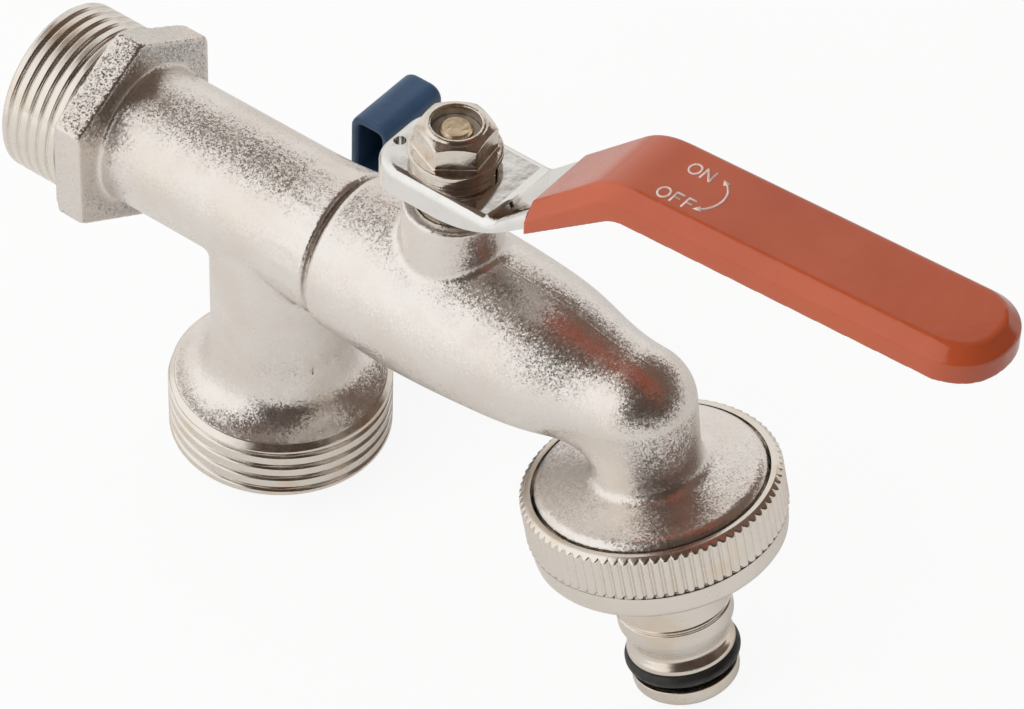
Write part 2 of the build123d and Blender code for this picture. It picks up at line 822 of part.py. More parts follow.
main_seat = ball_seat(main_ball_r, main_ball_bore_r, main_chamber_r - piece_clear, main_seat_in, main_seat_out)
branch_seat = ball_seat(
    branch_ball_r, branch_ball_bore_r, branch_chamber_r - piece_clear, branch_seat_in, branch_seat_out
)
main_packing = [main_stem_axis * packing_ring(main_stem_r, height) for height in packing_heights(main_shoulder_z)]
branch_packing = [
    branch_stem_axis * packing_ring(branch_stem_r, height) for height in packing_heights(branch_shoulder_y)
]

pieces = {
    "inlet_body": inlet_body(),
    "outlet_body": outlet_body(),
    "body_joint_ring": joint_ring(),
    "main_ball": main_ball_axis
    * Rot(0, 0, 90)
    * ball(main_ball_r, main_ball_bore_r, main_tang_w, main_tang_depth),
    "main_seat_inlet": main_ball_axis * Rot(180, 0, 0) * main_seat,
    "main_seat_outlet": main_ball_axis * main_seat,
    "main_stem": main_stem(),
    "main_thrust_washer": main_stem_axis * thrust_washer(main_stem_r, main_stem_flange_r, main_shoulder_z),
    "main_packing_lower": main_packing[0],
    "main_packing_upper": main_packing[1],
    "main_gland": main_gland(),
    "lever_plate": lever_plate(),
    "lever_grip": lever_grip(),
    "lever_spring_washer": spring_washer(),
    "lever_nut": lever_nut(),
    "lever_nut_insert": lever_nut_insert(),
    "branch_ball": branch_ball_axis
    * Rot(0, 0, -90)
    * ball(branch_ball_r, branch_ball_bore_r, branch_tang_w, branch_tang_depth),
    "branch_seat_upper": branch_ball_axis * Rot(180, 0, 0) * branch_seat,
    "branch_seat_lower": branch_ball_axis * branch_seat,
    "branch_seat_retainer": branch_retainer(),
    "branch_stem": branch_stem(),
    "branch_thrust_washer": branch_stem_axis
    * thrust_washer(branch_stem_r, branch_stem_flange_r, branch_shoulder_y),
    "branch_packing_inner": branch_packing[0],
    "branch_packing_outer": branch_packing[1],
    "branch_handle": branch_handle(),
    "branch_handle_nut": handle_nut(),
    "hose_connector": hose_connector(),
    "connector_washer": connector_washer(),
    "nipple_ring": nipple_ring(),
}

os.makedirs("parts", exist_ok=True)
for name, piece in pieces.items():
    export_step(piece, os.path.join("parts", name + ".step"))
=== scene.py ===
"""Looks of a dual outlet garden tap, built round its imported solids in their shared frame.

Sizes and places are in millimetres and angles in degrees, unless a name or a docstring says otherwise.
"""

import logging
import math
from dataclasses import dataclass
from enum import Enum
from functools import cache
from typing import Any, Iterable, Sequence

import bmesh
import bpy
import numpy as np
from mathutils import Matrix, Vector, noise


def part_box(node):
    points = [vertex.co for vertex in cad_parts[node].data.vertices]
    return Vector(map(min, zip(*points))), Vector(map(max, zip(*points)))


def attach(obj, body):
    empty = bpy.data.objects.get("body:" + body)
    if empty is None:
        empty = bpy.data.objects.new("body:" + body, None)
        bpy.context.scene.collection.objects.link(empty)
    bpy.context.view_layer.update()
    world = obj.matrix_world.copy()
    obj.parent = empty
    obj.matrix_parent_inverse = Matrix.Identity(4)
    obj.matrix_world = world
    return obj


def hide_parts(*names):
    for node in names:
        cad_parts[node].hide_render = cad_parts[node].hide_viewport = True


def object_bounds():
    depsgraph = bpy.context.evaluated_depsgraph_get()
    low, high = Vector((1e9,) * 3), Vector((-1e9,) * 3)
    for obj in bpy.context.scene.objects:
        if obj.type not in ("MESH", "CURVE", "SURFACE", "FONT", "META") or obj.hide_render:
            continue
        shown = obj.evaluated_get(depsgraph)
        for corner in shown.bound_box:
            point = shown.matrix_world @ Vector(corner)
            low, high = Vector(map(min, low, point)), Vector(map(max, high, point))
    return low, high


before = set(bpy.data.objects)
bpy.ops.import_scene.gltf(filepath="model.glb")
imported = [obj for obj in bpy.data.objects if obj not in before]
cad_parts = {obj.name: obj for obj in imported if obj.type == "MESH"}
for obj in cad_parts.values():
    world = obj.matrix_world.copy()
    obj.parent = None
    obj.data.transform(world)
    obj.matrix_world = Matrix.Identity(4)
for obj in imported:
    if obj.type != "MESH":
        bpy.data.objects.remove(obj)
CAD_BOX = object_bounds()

LOG = logging.getLogger("garden_tap")
MM = 0.001
TILT = math.radians(14.0)
TINY = 1e-6
CUT_SNAP = 1e-7
ARC_SHARE = 0.45
LEAST_ARC = 1e-4
SMOOTH_FACTOR = 0.5
SETTLE_ROUNDS = 2
FILL_STEP = 0.5
FILL_TURNS = 20
Points = np.ndarray
Pair = tuple[float, float]
Outline = list[Pair]
Vec = tuple[float, float, float]
Colour = tuple[float, float, float, float]
Socket = bpy.types.NodeSocket
Piece = bpy.types.Object


class Body(Enum):
    """Bodies of the tap that carry added pieces."""

    TAP = "tap_body"
    LEVER = "lever"
    BUTTERFLY = "butterfly"
    CONNECTOR = "connector"


class Slot(Enum):
    """Material slots of the record."""

    SATIN_NICKEL = "satin_nickel"
    TURNED_NICKEL = "turned_nickel"
    PLATED_FASTENER = "plated_fastener"
    RED_VINYL = "red_vinyl"
    BLUE_PLASTIC = "blue_plastic"


class Graph:
    """Builder of the nodes of one material or of the surroundings."""

    def __init__(self, owner: bpy.types.Material | bpy.types.World) -> None:
        """Start with an empty tree.

        Args:
            owner: material or world that the nodes belong to.
        """
        owner.use_nodes = True
        self.tree = owner.node_tree
        self.tree.nodes.clear()

    def add(self, kind: str, inputs: dict[Any, Any] | None = None, **settings: Any) -> bpy.types.Node:
        """Add a node.

        Args:
            kind: node type without its "ShaderNode" prefix.
            inputs: value or source socket for each named or numbered input.
            settings: properties of the node.

        Returns:
            The new node.
        """
        node = self.tree.nodes.new("ShaderNode" + kind)
        for key, value in settings.items():
            setattr(node, key, value)
        for key, value in (inputs or {}).items():
            if isinstance(value, Socket):
                self.tree.links.new(value, node.inputs[key])
            else:
                node.inputs[key].default_value = value
        return node

    def place(self) -> Socket:
        """Return the point on the piece, in its own frame."""
        return self.add("TexCoord").outputs["Object"]

    def speckle(self, scale: float, detail: float = 2.0, rough: float = 0.5) -> Socket:
        """Return a noise from 0 to 1, by its cells per metre, its octaves and the finer ones' weight."""
        inputs = {"Vector": self.place(), "Scale": scale, "Detail": detail, "Roughness": rough}
        return self.add("TexNoise", inputs).outputs[0]

    def span(
        self, value: Socket, low: float, high: float, to_low: float = 0.0, to_high: float = 1.0
    ) -> Socket:
        """Return a value mapped from one range to another, smoothly and clamped."""
        inputs = {"Value": value, "From Min": low, "From Max": high, "To Min": to_low, "To Max": to_high}
        return self.add("MapRange", inputs, interpolation_type="SMOOTHSTEP").outputs["Result"]

    def blend(self, share: Any, first: Any, second: Any) -> Socket:
        """Return two colours or sockets mixed by the share of the second."""
        return self.add("Mix", {0: share, 6: first, 7: second}, data_type="RGBA").outputs[2]

    def calc(self, first: Any, second: Any, operation: str = "ADD") -> Socket:
        """Return two values or sockets joined by a named math operation."""
        return self.add("Math", {0: first, 1: second}, operation=operation).outputs[0]

    def relief(self, height: Socket, depth_mm: float) -> Socket:
        """Return the normal of a height from 0 to 1 with its real depth in millimetres."""
        inputs = {"Height": height, "Distance": depth_mm * MM, "Strength": 1.0}
        return self.add("Bump", inputs).outputs[0]

    def facets(self, normal: Socket, scale: float, tilt: float) -> Socket:
        """Tilt a normal at random in small cells, like the facets of a blasted skin.

        Args:
            normal: normal before the tilt.
            scale: cells per metre.
            tilt: greatest sideways share of the tilt.

        Returns:
            The tilted normal.
        """
        cells = self.add("TexVoronoi", {"Vector": self.place(), "Scale": scale}, feature="F1")
        middle = (0.5, 0.5, 0.5)
        centred = self.add("VectorMath", {0: cells.outputs["Color"], 1: middle}, operation="SUBTRACT")
        sized = self.add("VectorMath", {0: centred.outputs[0], "Scale": tilt}, operation="SCALE")
        tilted = self.add("VectorMath", {0: normal, 1: sized.outputs[0]})
        return self.add("VectorMath", {0: tilted.outputs[0]}, operation="NORMALIZE").outputs[0]

    def close(self, **sockets: Any) -> None:
        """Finish with a surface shader.

        Args:
            sockets: values or sources of the shader's inputs, with _ for spaces.
        """
        inputs = {key.replace("_", " "): value for key, value in sockets.items()}
        shader = self.add("BsdfPrincipled", inputs)
        self.add("OutputMaterial", {"Surface": shader.outputs[0]})


def rgb(red: float, green: float, blue: float) -> Colour:
    """Return a linear colour with full opacity."""
    return (red, green, blue, 1.0)


@dataclass(frozen=True)
class CastNickel:
    """Blasted brass casting under satin nickel plating."""

    name: str = "satin nickel casting"
    base: Colour = rgb(0.83, 0.79, 0.755)
    warm: Colour = rgb(0.8, 0.74, 0.685)
    # Dark tone of the pits, and of the painted shade in the seam groove.
    stain_and_seam_shade: Colour = rgb(0.2, 0.14, 0.09)
    rough_low: float = 0.27
    rough_high: float = 0.34
    grain_scale: float = 4200.0
    grain_tilt: float = 0.21
    grain_mm: float = 0.015
    cloud_scale: float = 90.0
    cloud_edge: Pair = (0.42, 0.68)
    gloss_scale: float = 420.0
    gloss_edge: Pair = (0.3, 0.7)
    pit_cells: float = 230.0
    pit_edge: Pair = (0.04, 0.13)
    pit_patches: float = 55.0
    patch_edge: Pair = (0.6, 0.68)
    pit_share: float = 0.45
    seam_x: float = 43.5
    seam_half_w: float = 0.45
    seam_core: float = 0.4
    seam_low: float = -15.0
    seam_fade: float = 1.0
    seam_shade_strength: float = 0.92

    def paint(self, graph: Graph) -> None:
        """Lay out the finish: fine grain, soft mottling, a few dark pits and a dark line of painted shade
        in the seam's groove.

        Args:
            graph: nodes of the material.
        """
        cloud = graph.span(graph.speckle(self.cloud_scale, detail=3), *self.cloud_edge)
        colour = graph.blend(cloud, self.base, self.warm)
        cells = graph.add("TexVoronoi", {"Vector": graph.place(), "Scale": self.pit_cells}, feature="F1")
        near = graph.span(cells.outputs["Distance"], *self.pit_edge, 1.0, 0.0)
        chosen = graph.span(graph.speckle(self.pit_patches, detail=1), *self.patch_edge)
        pits = graph.calc(graph.calc(near, chosen, "MULTIPLY"), self.pit_share, "MULTIPLY")
        colour = graph.blend(pits, colour, self.stain_and_seam_shade)
        # Painted shade: the colour is darkened along the seam groove between the two castings, above
        # seam_low.
        along = graph.add("SeparateXYZ", {0: graph.place()})
        off_seam = graph.calc(graph.calc(along.outputs["X"], self.seam_x * MM, "SUBTRACT"), 0.0, "ABSOLUTE")
        half_w, low = self.seam_half_w * MM, self.seam_low * MM
        seam_shade_mask = graph.span(off_seam, self.seam_core * half_w, half_w, self.seam_shade_strength, 0.0)
        above = graph.span(along.outputs["Z"], low, low + self.seam_fade * MM)
        seam_shade_mask = graph.calc(seam_shade_mask, above, "MULTIPLY")
        colour = graph.blend(seam_shade_mask, colour, self.stain_and_seam_shade)
        grain = graph.speckle(self.grain_scale, detail=0.5, rough=0.6)
        gloss = graph.speckle(self.gloss_scale, detail=3)
        rough = graph.span(gloss, *self.gloss_edge, self.rough_low, self.rough_high)
        normal = graph.facets(graph.relief(grain, self.grain_mm), self.grain_scale, self.grain_tilt)
        graph.close(Base_Color=colour, Metallic=1.0, Roughness=rough, Normal=normal)


@dataclass(frozen=True)
class TurnedNickel:
    """Turned brass under nickel plating, with tool lines round an axis and worn brassy patches."""

    name: str = "turned nickel"
    axis: Vec = (math.sin(TILT), 0.0, -math.cos(TILT))
    base: Colour = rgb(0.8, 0.75, 0.69)
    worn: Colour = rgb(0.74, 0.6, 0.44)
    worn_share: float = 0.45
    lines: float = 2300.0
    line_mm: float = 0.02
    roughness: float = 0.2
    rough_range: Pair = (0.75, 1.5)
    patch_scale: float = 110.0
    patch_edge: Pair = (0.5, 0.68)
    gloss_scale: float = 300.0
    gloss_edge: Pair = (0.3, 0.72)
    mark_scale: float = 700.0
    mark_share: float = 0.6

    def paint(self, graph: Graph) -> None:
        """Lay out the finish: fine turning lines, smudges and patches worn to brass.

        Args:
            graph: nodes of the material.
        """
        along = graph.add("VectorMath", {0: graph.place(), 1: self.axis}, operation="DOT_PRODUCT")
        inputs = {"W": along.outputs["Value"], "Scale": self.lines, "Detail": 2.0}
        cuts = graph.add("TexNoise", inputs, noise_dimensions="1D")
        patches = graph.speckle(self.patch_scale, detail=3, rough=0.6)
        patch = graph.span(patches, *self.patch_edge, 0.0, self.worn_share)
        colour = graph.blend(patch, self.base, self.worn)
        gloss = graph.speckle(self.gloss_scale, detail=3)
        rough = graph.span(gloss, *self.gloss_edge, *(self.roughness * share for share in self.rough_range))
        marks = graph.calc(graph.speckle(self.mark_scale), self.mark_share, "MULTIPLY")
        normal = graph.relief(graph.calc(cuts.outputs[0], marks), self.line_mm)
        graph.close(Base_Color=colour, Metallic=1.0, Roughness=rough, Normal=normal)


@dataclass(frozen=True)
class PlatedSteel:
    """Plated steel with cloudy tones, uneven gloss and shallow marks."""

    name: str
    base: Colour
    shade: Colour
    roughness: float
    cloud_scale: float
    mark_scale: float
    mark_mm: float
    rough_range: Pair = (0.7, 1.8)
    cloud_edge: Pair = (0.45, 0.75)
    gloss_scale: float = 400.0
    gloss_edge: Pair = (0.3, 0.7)

    def paint(self, graph: Graph) -> None:
        """Lay out the finish: two tones of plating, patches of haze and handling marks.

        Args:
            graph: nodes of the material.
        """
        cloud = graph.span(graph.speckle(self.cloud_scale, detail=4, rough=0.6), *self.cloud_edge)
        colour = graph.blend(cloud, self.base, self.shade)
        gloss = graph.speckle(self.gloss_scale, detail=3)
        rough = graph.span(gloss, *self.gloss_edge, *(self.roughness * share for share in self.rough_range))
        normal = graph.relief(graph.speckle(self.mark_scale, detail=3), self.mark_mm)
        graph.close(Base_Color=colour, Metallic=1.0, Roughness=rough, Normal=normal)


@dataclass(frozen=True)
class SoftFinish:
    """Plastic or rubber with a fine moulded texture."""

    name: str
    base: Colour
    shade: Colour
    rough_low: float
    rough_high: float
    cloud_scale: float = 120.0
    cloud_edge: Pair = (0.35, 0.7)
    gloss_ratio: float = 3.0
    gloss_edge: Pair = (0.3, 0.7)
    texture_scale: float = 1500.0
    texture_mm: float = 0.02
    specular: float = 0.5
    coat: float = 0.0
    coat_roughness: float = 0.08

    def paint(self, graph: Graph) -> None:
        """Lay out the finish: two close tones, uneven gloss and a shallow texture.

        Args:
            graph: nodes of the material.
        """
        cloud = graph.span(graph.speckle(self.cloud_scale, detail=3), *self.cloud_edge)
        colour = graph.blend(cloud, self.base, self.shade)
        gloss = graph.speckle(self.cloud_scale * self.gloss_ratio, detail=3)
        rough = graph.span(gloss, *self.gloss_edge, self.rough_low, self.rough_high)
        normal = graph.relief(graph.speckle(self.texture_scale), self.texture_mm)
        graph.close(
            Base_Color=colour,
            Roughness=rough,
            Normal=normal,
            Specular_IOR_Level=self.specular,
            Coat_Weight=self.coat,
            Coat_Roughness=self.coat_roughness,
        )


CAST_NICKEL = CastNickel()
# The hexagon's finish: coarser facets, and a darker base colour that is painted shade for the dark
# reflections on its faces.
HEX_NICKEL_SHADED = CastNickel(
    name="coarse nickel casting with painted shade",
    base=rgb(0.76, 0.72, 0.68),
    rough_low=0.26,
    rough_high=0.33,
    grain_scale=4400.0,
    grain_tilt=0.4,
)
THREAD_NICKEL_X = TurnedNickel(
    name="nickel on the wall thread", axis=(1.0, 0.0, 0.0), worn_share=0.6, line_mm=0.006
)
THREAD_NICKEL_Z = TurnedNickel(
    name="nickel on the branch thread", axis=(0.0, 0.0, 1.0), worn_share=0.6, line_mm=0.006
)
TURNED_NICKEL = TurnedNickel()
GLAND_NICKEL = TurnedNickel(name="nickel on the gland", axis=(0.0, 0.0, 1.0))
BRIGHT_ZINC = PlatedSteel(
    name="bright zinc",
    base=rgb(0.83, 0.82, 0.8),
    shade=rgb(0.74, 0.73, 0.71),
    roughness=0.08,
    cloud_scale=160.0,
    mark_scale=420.0,
    mark_mm=0.02,
)
FASTENER = PlatedSteel(
    name="plated fastener",
    base=rgb(0.78, 0.72, 0.65),
    shade=rgb(0.58, 0.5, 0.42),
    roughness=0.14,
    cloud_scale=380.0,
    mark_scale=900.0,
    mark_mm=0.04,
)
BRASS = PlatedSteel(
    name="bare brass",
    base=rgb(0.87, 0.71, 0.51),
    shade=rgb(0.68, 0.52, 0.34),
    roughness=0.28,
    cloud_scale=520.0,
    mark_scale=800.0,
    mark_mm=0.12,
)
CHROME = PlatedSteel(
    name="chromed ball",
    base=rgb(0.8, 0.8, 0.8),
    shade=rgb(0.66, 0.67, 0.68),
    roughness=0.07,
    cloud_scale=150.0,
    mark_scale=300.0,
    mark_mm=0.005,
)
RED_VINYL = SoftFinish(
    name="red dipped vinyl",
    base=rgb(0.45, 0.08, 0.025),
    shade=rgb(0.41, 0.068, 0.022),
    rough_low=0.14,
    rough_high=0.26,
    cloud_scale=60.0,
    texture_scale=300.0,
    texture_mm=0.03,
    coat=0.2,
)
NAVY = SoftFinish(
    name="dark blue plastic",
    base=rgb(0.035, 0.085, 0.17),
    shade=rgb(0.028, 0.066, 0.135),
    rough_low=0.3,
    rough_high=0.45,
    cloud_scale=150.0,
    texture_scale=900.0,
    texture_mm=0.03,
)
WHITE_PLASTIC = SoftFinish(
    name="white seat plastic",
    base=rgb(0.8, 0.8, 0.77),
    shade=rgb(0.7, 0.69, 0.65),
    rough_low=0.35,
    rough_high=0.5,
)
# Painted shade: the locking insert gets a dark brown-grey colour for the shade in the nut's recess, in
# place of white plastic.
SHADED_INSERT_PLASTIC = SoftFinish(
    name="locking plastic with painted shade",
    base=rgb(0.34, 0.28, 0.22),
    shade=rgb(0.2, 0.16, 0.12),
    rough_low=0.35,
    rough_high=0.5,
    cloud_scale=600.0,
)
RUBBER = SoftFinish(
    name="black rubber",
    base=rgb(0.012, 0.012, 0.012),
    shade=rgb(0.022, 0.021, 0.02),
    rough_low=0.32,
    rough_high=0.55,
    cloud_scale=300.0,
    texture_scale=2000.0,
    texture_mm=0.03,
)
INK = SoftFinish(
    name="pale ink",
    base=rgb(0.78, 0.62, 0.56),
    shade=rgb(0.66, 0.46, 0.4),
    rough_low=0.3,
    rough_high=0.5,
    cloud_scale=700.0,
    texture_scale=2500.0,
    texture_mm=0.01,
)
Finish = CastNickel | TurnedNickel | PlatedSteel | SoftFinish


@cache
def material_of(finish: Finish) -> bpy.types.Material:
    """Return a finish's material, made once.

    Args:
        finish: the finish.

    Returns:
        Its material.
    """
    material = bpy.data.materials.new(finish.name)
    finish.paint(Graph(material))
    return material


@dataclass(frozen=True)
class AxisFrame:
    """Turning axis: an origin in millimetres, the axis and a direction across it."""

    origin: Vec
    axis: Vec
    across: Vec

    def points(self, radius: Points, height: Points, angle: Points) -> Points:
        """Turn cylindrical places into points.

        Args:
            radius: distance from the axis, in millimetres.
            height: place along the axis.
            angle: angle from the across direction, in radians.

        Returns:
            Points in millimetres, in the last dimension.
        """
        axis, across = np.array(self.axis), np.array(self.across)
        side = np.cross(axis, across)
        flat = np.cos(angle)[..., None] * across + np.sin(angle)[..., None] * side
        return np.array(self.origin) + height[..., None] * axis + radius[..., None] * flat

    def measure(self, points: Points) -> tuple[Points, Points]:
        """Measure points against the axis.

        Args:
            points: points in millimetres.

        Returns:
            Distance from the axis and place along it.
        """
        rel = points - np.array(self.origin)
        height = rel @ np.array(self.axis)
        return np.linalg.norm(rel - height[:, None] * np.array(self.axis), axis=1), height

    def set_radius(self, points: Points, radius: Points) -> Points:
        """Move points to a new distance from the axis.

        Args:
            points: points in millimetres.
            radius: new distances.

        Returns:
            The moved points.
        """
        old, height = self.measure(points)
        foot = np.array(self.origin) + height[:, None] * np.array(self.axis)
        return foot + (points - foot) * (radius / np.maximum(old, TINY))[:, None]


OUTLET = AxisFrame(
    (96.445, 0.0, -11.836), (math.sin(TILT), 0.0, -math.cos(TILT)), (math.cos(TILT), 0.0, math.sin(TILT))
)
INLET = AxisFrame((0.0, 0.0, 0.0), (1.0, 0.0, 0.0), (0.0, 1.0, 0.0))
BRANCH = AxisFrame((30.0, 0.0, 0.0), (0.0, 0.0, -1.0), (1.0, 0.0, 0.0))


def new_piece(name: str, points: Points, faces: Iterable[Sequence[int]]) -> Piece:
    """Make a smooth shaded mesh piece.

    Args:
        name: name of the piece.
        points: corners in millimetres.
        faces: corner numbers of each face.

    Returns:
        The new object.
    """
    mesh = bpy.data.meshes.new(name)
    mesh.from_pydata((np.asarray(points) * MM).tolist(), [], [list(face) for face in faces])
    work = bmesh.new()
    work.from_mesh(mesh)
    bmesh.ops.recalc_face_normals(work, faces=work.faces)
    work.to_mesh(mesh)
    work.free()
    mesh.shade_smooth()
    piece = bpy.data.objects.new(name, mesh)
    bpy.context.scene.collection.objects.link(piece)
    return piece


def dress(
    piece: Piece, body: Body, finishes: Sequence[Finish], replaced: Sequence[str] = ()
) -> None:
    """Give a piece its finish and its body.

    Args:
        piece: the piece, in place.
        body: body that it moves with.
        finishes: finishes in the order of the mesh's material numbers.
        replaced: solids that it stands for.
    """
    for finish in finishes:
        piece.data.materials.append(material_of(finish))
    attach(piece, body.value)
    if replaced:
        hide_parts(*replaced)
    LOG.info("%s: %d faces on %s", piece.name, len(piece.data.polygons), body.value)


def ring_faces(turns: int, count: int) -> list[tuple[int, int, int, int]]:
    """Return the faces of a closed outline turned all round.

    Args:
        turns: steps round the axis.
        count: points of the outline.

    Returns:
        Four corner numbers for each face.
    """
    faces = []
    for turn in range(turns):
        after = (turn + 1) % turns
        for row in range(count):
            nxt = (row + 1) % count
            faces.append((turn * count + row, turn * count + nxt, after * count + nxt, after * count + row))
    return faces


def rounded(outline: Outline, radii: Sequence[float], steps: int) -> Outline:
    """Round the corners of a closed outline.

    Args:
        outline: corners.
        radii: length that each corner's arc takes from both its sides.
        steps: pieces of each arc.

    Returns:
        The outline with its arcs.
    """
    result: Outline = []
    count = len(outline)
    for index, corner in enumerate(outline):
        here = np.array(corner)
        before, after = np.array(outline[index - 1]), np.array(outline[(index + 1) % count])
        back, on = before - here, after - here
        reach = min(radii[index], ARC_SHARE * np.linalg.norm(back), ARC_SHARE * np.linalg.norm(on))
        if reach < LEAST_ARC:
            result.append(tuple(here))
            continue
        start = here + back / np.linalg.norm(back) * reach
        end = here + on / np.linalg.norm(on) * reach
        for step in range(steps + 1):
            t = step / steps
            result.append(tuple((1 - t) ** 2 * start + 2 * t * (1 - t) * here + t**2 * end))
    return result


def divided(outline: Outline, longest: float, least_r: float) -> Outline:
    """Divide the long sides in the outer part of a closed outline.

    Args:
        outline: corners as radius and place along the axis.
        longest: greatest length of an outer side, in millimetres.
        least_r: radius within which the sides stay whole, in millimetres.

    Returns:
        The outline with more points.
    """
    result: Outline = []
    for index, corner in enumerate(outline):
        here, after = np.array(corner), np.array(outline[(index + 1) % len(outline)])
        outer = min(here[0], after[0]) >= least_r
        parts = max(1, math.ceil(np.linalg.norm(after - here) / longest)) if outer else 1
        result.extend(tuple(here + (after - here) * part / parts) for part in range(parts))
    return result


def soft_copy(name: str, node: str, voxel: float, smoothing: int, keep: float = 1.0) -> Piece:
    """Copy a solid into an evenly meshed piece with soft edges.

    Args:
        name: name of the piece.
        node: solid to copy.
        voxel: size of the new mesh's faces, in millimetres.
        smoothing: rounds of smoothing.
        keep: share of the faces to keep where the surface is plain.

    Returns:
        The new object.
    """
    joined = bmesh.new()
    joined.from_mesh(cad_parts[node].data)
    bmesh.ops.remove_doubles(joined, verts=joined.verts, dist=TINY)
    raw = bpy.data.meshes.new(name + " raw")
    joined.to_mesh(raw)
    joined.free()
    carrier = bpy.data.objects.new(name + " raw", raw)
    bpy.context.scene.collection.objects.link(carrier)
    remesh = carrier.modifiers.new("even faces", "REMESH")
    remesh.mode = "VOXEL"
    remesh.voxel_size = voxel * MM
    remesh.use_smooth_shade = True
    smooth = carrier.modifiers.new("soft edges", "SMOOTH")
    smooth.factor = SMOOTH_FACTOR
    smooth.iterations = smoothing
    if keep < 1.0:
        thin = carrier.modifiers.new("fewer faces", "DECIMATE")
        thin.ratio = keep
        settle = carrier.modifiers.new("settled faces", "SMOOTH")
        settle.factor = SMOOTH_FACTOR
        settle.iterations = SETTLE_ROUNDS
    depsgraph = bpy.context.evaluated_depsgraph_get()
    mesh = bpy.data.meshes.new_from_object(carrier.evaluated_get(depsgraph), depsgraph=depsgraph)
    bpy.data.objects.remove(carrier)
    bpy.data.meshes.remove(raw)
    mesh.name = name
    mesh.materials.clear()
    mesh.shade_smooth()
    piece = bpy.data.objects.new(name, mesh)
    bpy.context.scene.collection.objects.link(piece)
    return piece


def read_field(piece: Piece, field: str) -> Points:
    """Read a vector at each corner of a piece.

    Args:
        piece: the piece.
        field: name of the vector, "co" or "normal".

    Returns:
        One row for each corner.
    """
    flat = np.empty(len(piece.data.vertices) * 3)
    piece.data.vertices.foreach_get(field, flat)
    return flat.reshape(-1, 3)


def read_points(piece: Piece) -> Points:
    """Return a piece's corners in millimetres."""
    return read_field(piece, "co") / MM


def read_normals(piece: Piece) -> Points:
    """Return the normals at a piece's corners."""
    return read_field(piece, "normal")


def write_points(piece: Piece, points: Points) -> None:
    """Move a piece's corners, given in millimetres."""
    piece.data.vertices.foreach_set("co", (points * MM).ravel())
    piece.data.update()


def ramp(value: Points, start: float, length: float) -> Points:
    """Return a straight rise from 0 to 1 over a length from a start."""
    return np.clip((value - start) / length, 0, 1)


def ripple(points: Points, wave: float) -> Points:
    """Return a smooth noise from -1 to 1 at each point.

    Args:
        points: points in millimetres.
        wave: size of its bumps, in millimetres.

    Returns:
        One value for each point.
    """
    return np.array([noise.noise(Vector(point)) for point in points / wave])


def fill_creases(piece: Piece, share: Points, rounds: int) -> None:
    """Fill the hollow creases of a piece with a soft fillet and leave its bulges alone.

    Args:
        piece: the piece.
        share: strength from 0 to 1 at each corner.
        rounds: rounds of filling; each reaches a little further.
    """
    chosen = np.flatnonzero(share > 0.0)
    edges = np.empty(len(piece.data.edges) * 2, dtype=np.int64)
    piece.data.edges.foreach_get("vertices", edges)
    edges = edges.reshape(-1, 2)
    both = np.concatenate([edges, edges[:, ::-1]])
    number = np.full(len(share), -1)
    number[chosen] = np.arange(len(chosen))
    both = both[number[both[:, 0]] >= 0]
    owner = number[both[:, 0]]
    degree = np.bincount(owner, minlength=len(chosen))[:, None]
    points = read_points(piece)
    for turn in range(rounds):
        if turn % FILL_TURNS == 0:
            write_points(piece, points)
            normals = read_normals(piece)[chosen]
        near = points[both[:, 1]]
        middle = np.stack([np.bincount(owner, near[:, k], len(chosen)) for k in range(3)], axis=1) / degree
        gap = middle - points[chosen]
        hollow = np.sum(gap * normals, axis=1) > 0
        points[chosen] += gap * (FILL_STEP * share[chosen] * hollow)[:, None]
    write_points(piece, points)


def keep_inside(piece: Piece, node: str) -> None:
    """Keep a piece within the box of the solid that it stands for.

    Args:
        piece: the piece.
        node: that solid.
    """
    low, high = (np.array(list(corner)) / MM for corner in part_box(node))
    write_points(piece, np.clip(read_points(piece), low, high))


@dataclass(frozen=True)
class ThreadSleeve:
    """Pipe thread cut round an axis between two places."""

    name: str
    axis: AxisFrame
    crest_r: float
    pitch: float
    depth: float
    start: float
    end: float
    start_lead: float
    end_lead: float
    buried: float = 0.7
    groove: float = 0.05
    flank: float = 0.4
    turns: int = 224
    rows_per_pitch: int = 16
    least_rows: int = 8

    @property
    def root_r(self) -> float:
        """Radius at the foot of the grooves."""
        return self.crest_r - self.depth

    def ridge(self, height: Points, angle: Points) -> Points:
        """Give the radius of the thread's surface.

        Args:
            height: places along the axis.
            angle: angles round it.

        Returns:
            The radius at each place.
        """
        phase = np.mod(height / self.pitch + angle / (2 * math.pi), 1.0)
        saw = 1 - np.abs(2 * phase - 1)
        rise = np.clip((saw - self.groove) / self.flank, 0, 1)
        radius = self.root_r + self.depth * rise * rise * (3 - 2 * rise)
        start_cap = self.crest_r - self.start_lead + (height - self.start)
        end_cap = self.crest_r - self.end_lead + (self.end - height)
        if self.start_lead > 0:
            radius = np.minimum(radius, start_cap)
        if self.end_lead > 0:
            radius = np.minimum(radius, end_cap)
        return radius

    def build(self) -> Piece:
        """Make the sleeve, whose inner side is buried in the casting.

        Returns:
            The sleeve.
        """
        rows = max(self.least_rows, round((self.end - self.start) / self.pitch * self.rows_per_pitch))
        heights = np.linspace(self.start, self.end, rows)
        angles = np.linspace(0, 2 * math.pi, self.turns, endpoint=False)
        grid_h, grid_a = np.meshgrid(heights, angles)
        outer = self.axis.points(self.ridge(grid_h, grid_a), grid_h, grid_a)
        inner_h = np.broadcast_to(np.array([self.end, self.start]), (self.turns, 2))
        inner_a = np.broadcast_to(angles[:, None], (self.turns, 2))
        inner_r = np.full((self.turns, 2), self.root_r - self.buried)
        inner = self.axis.points(inner_r, inner_h, inner_a)
        points = np.concatenate([outer, inner], axis=1).reshape(-1, 3)
        return new_piece(self.name, points, ring_faces(self.turns, rows + 2))


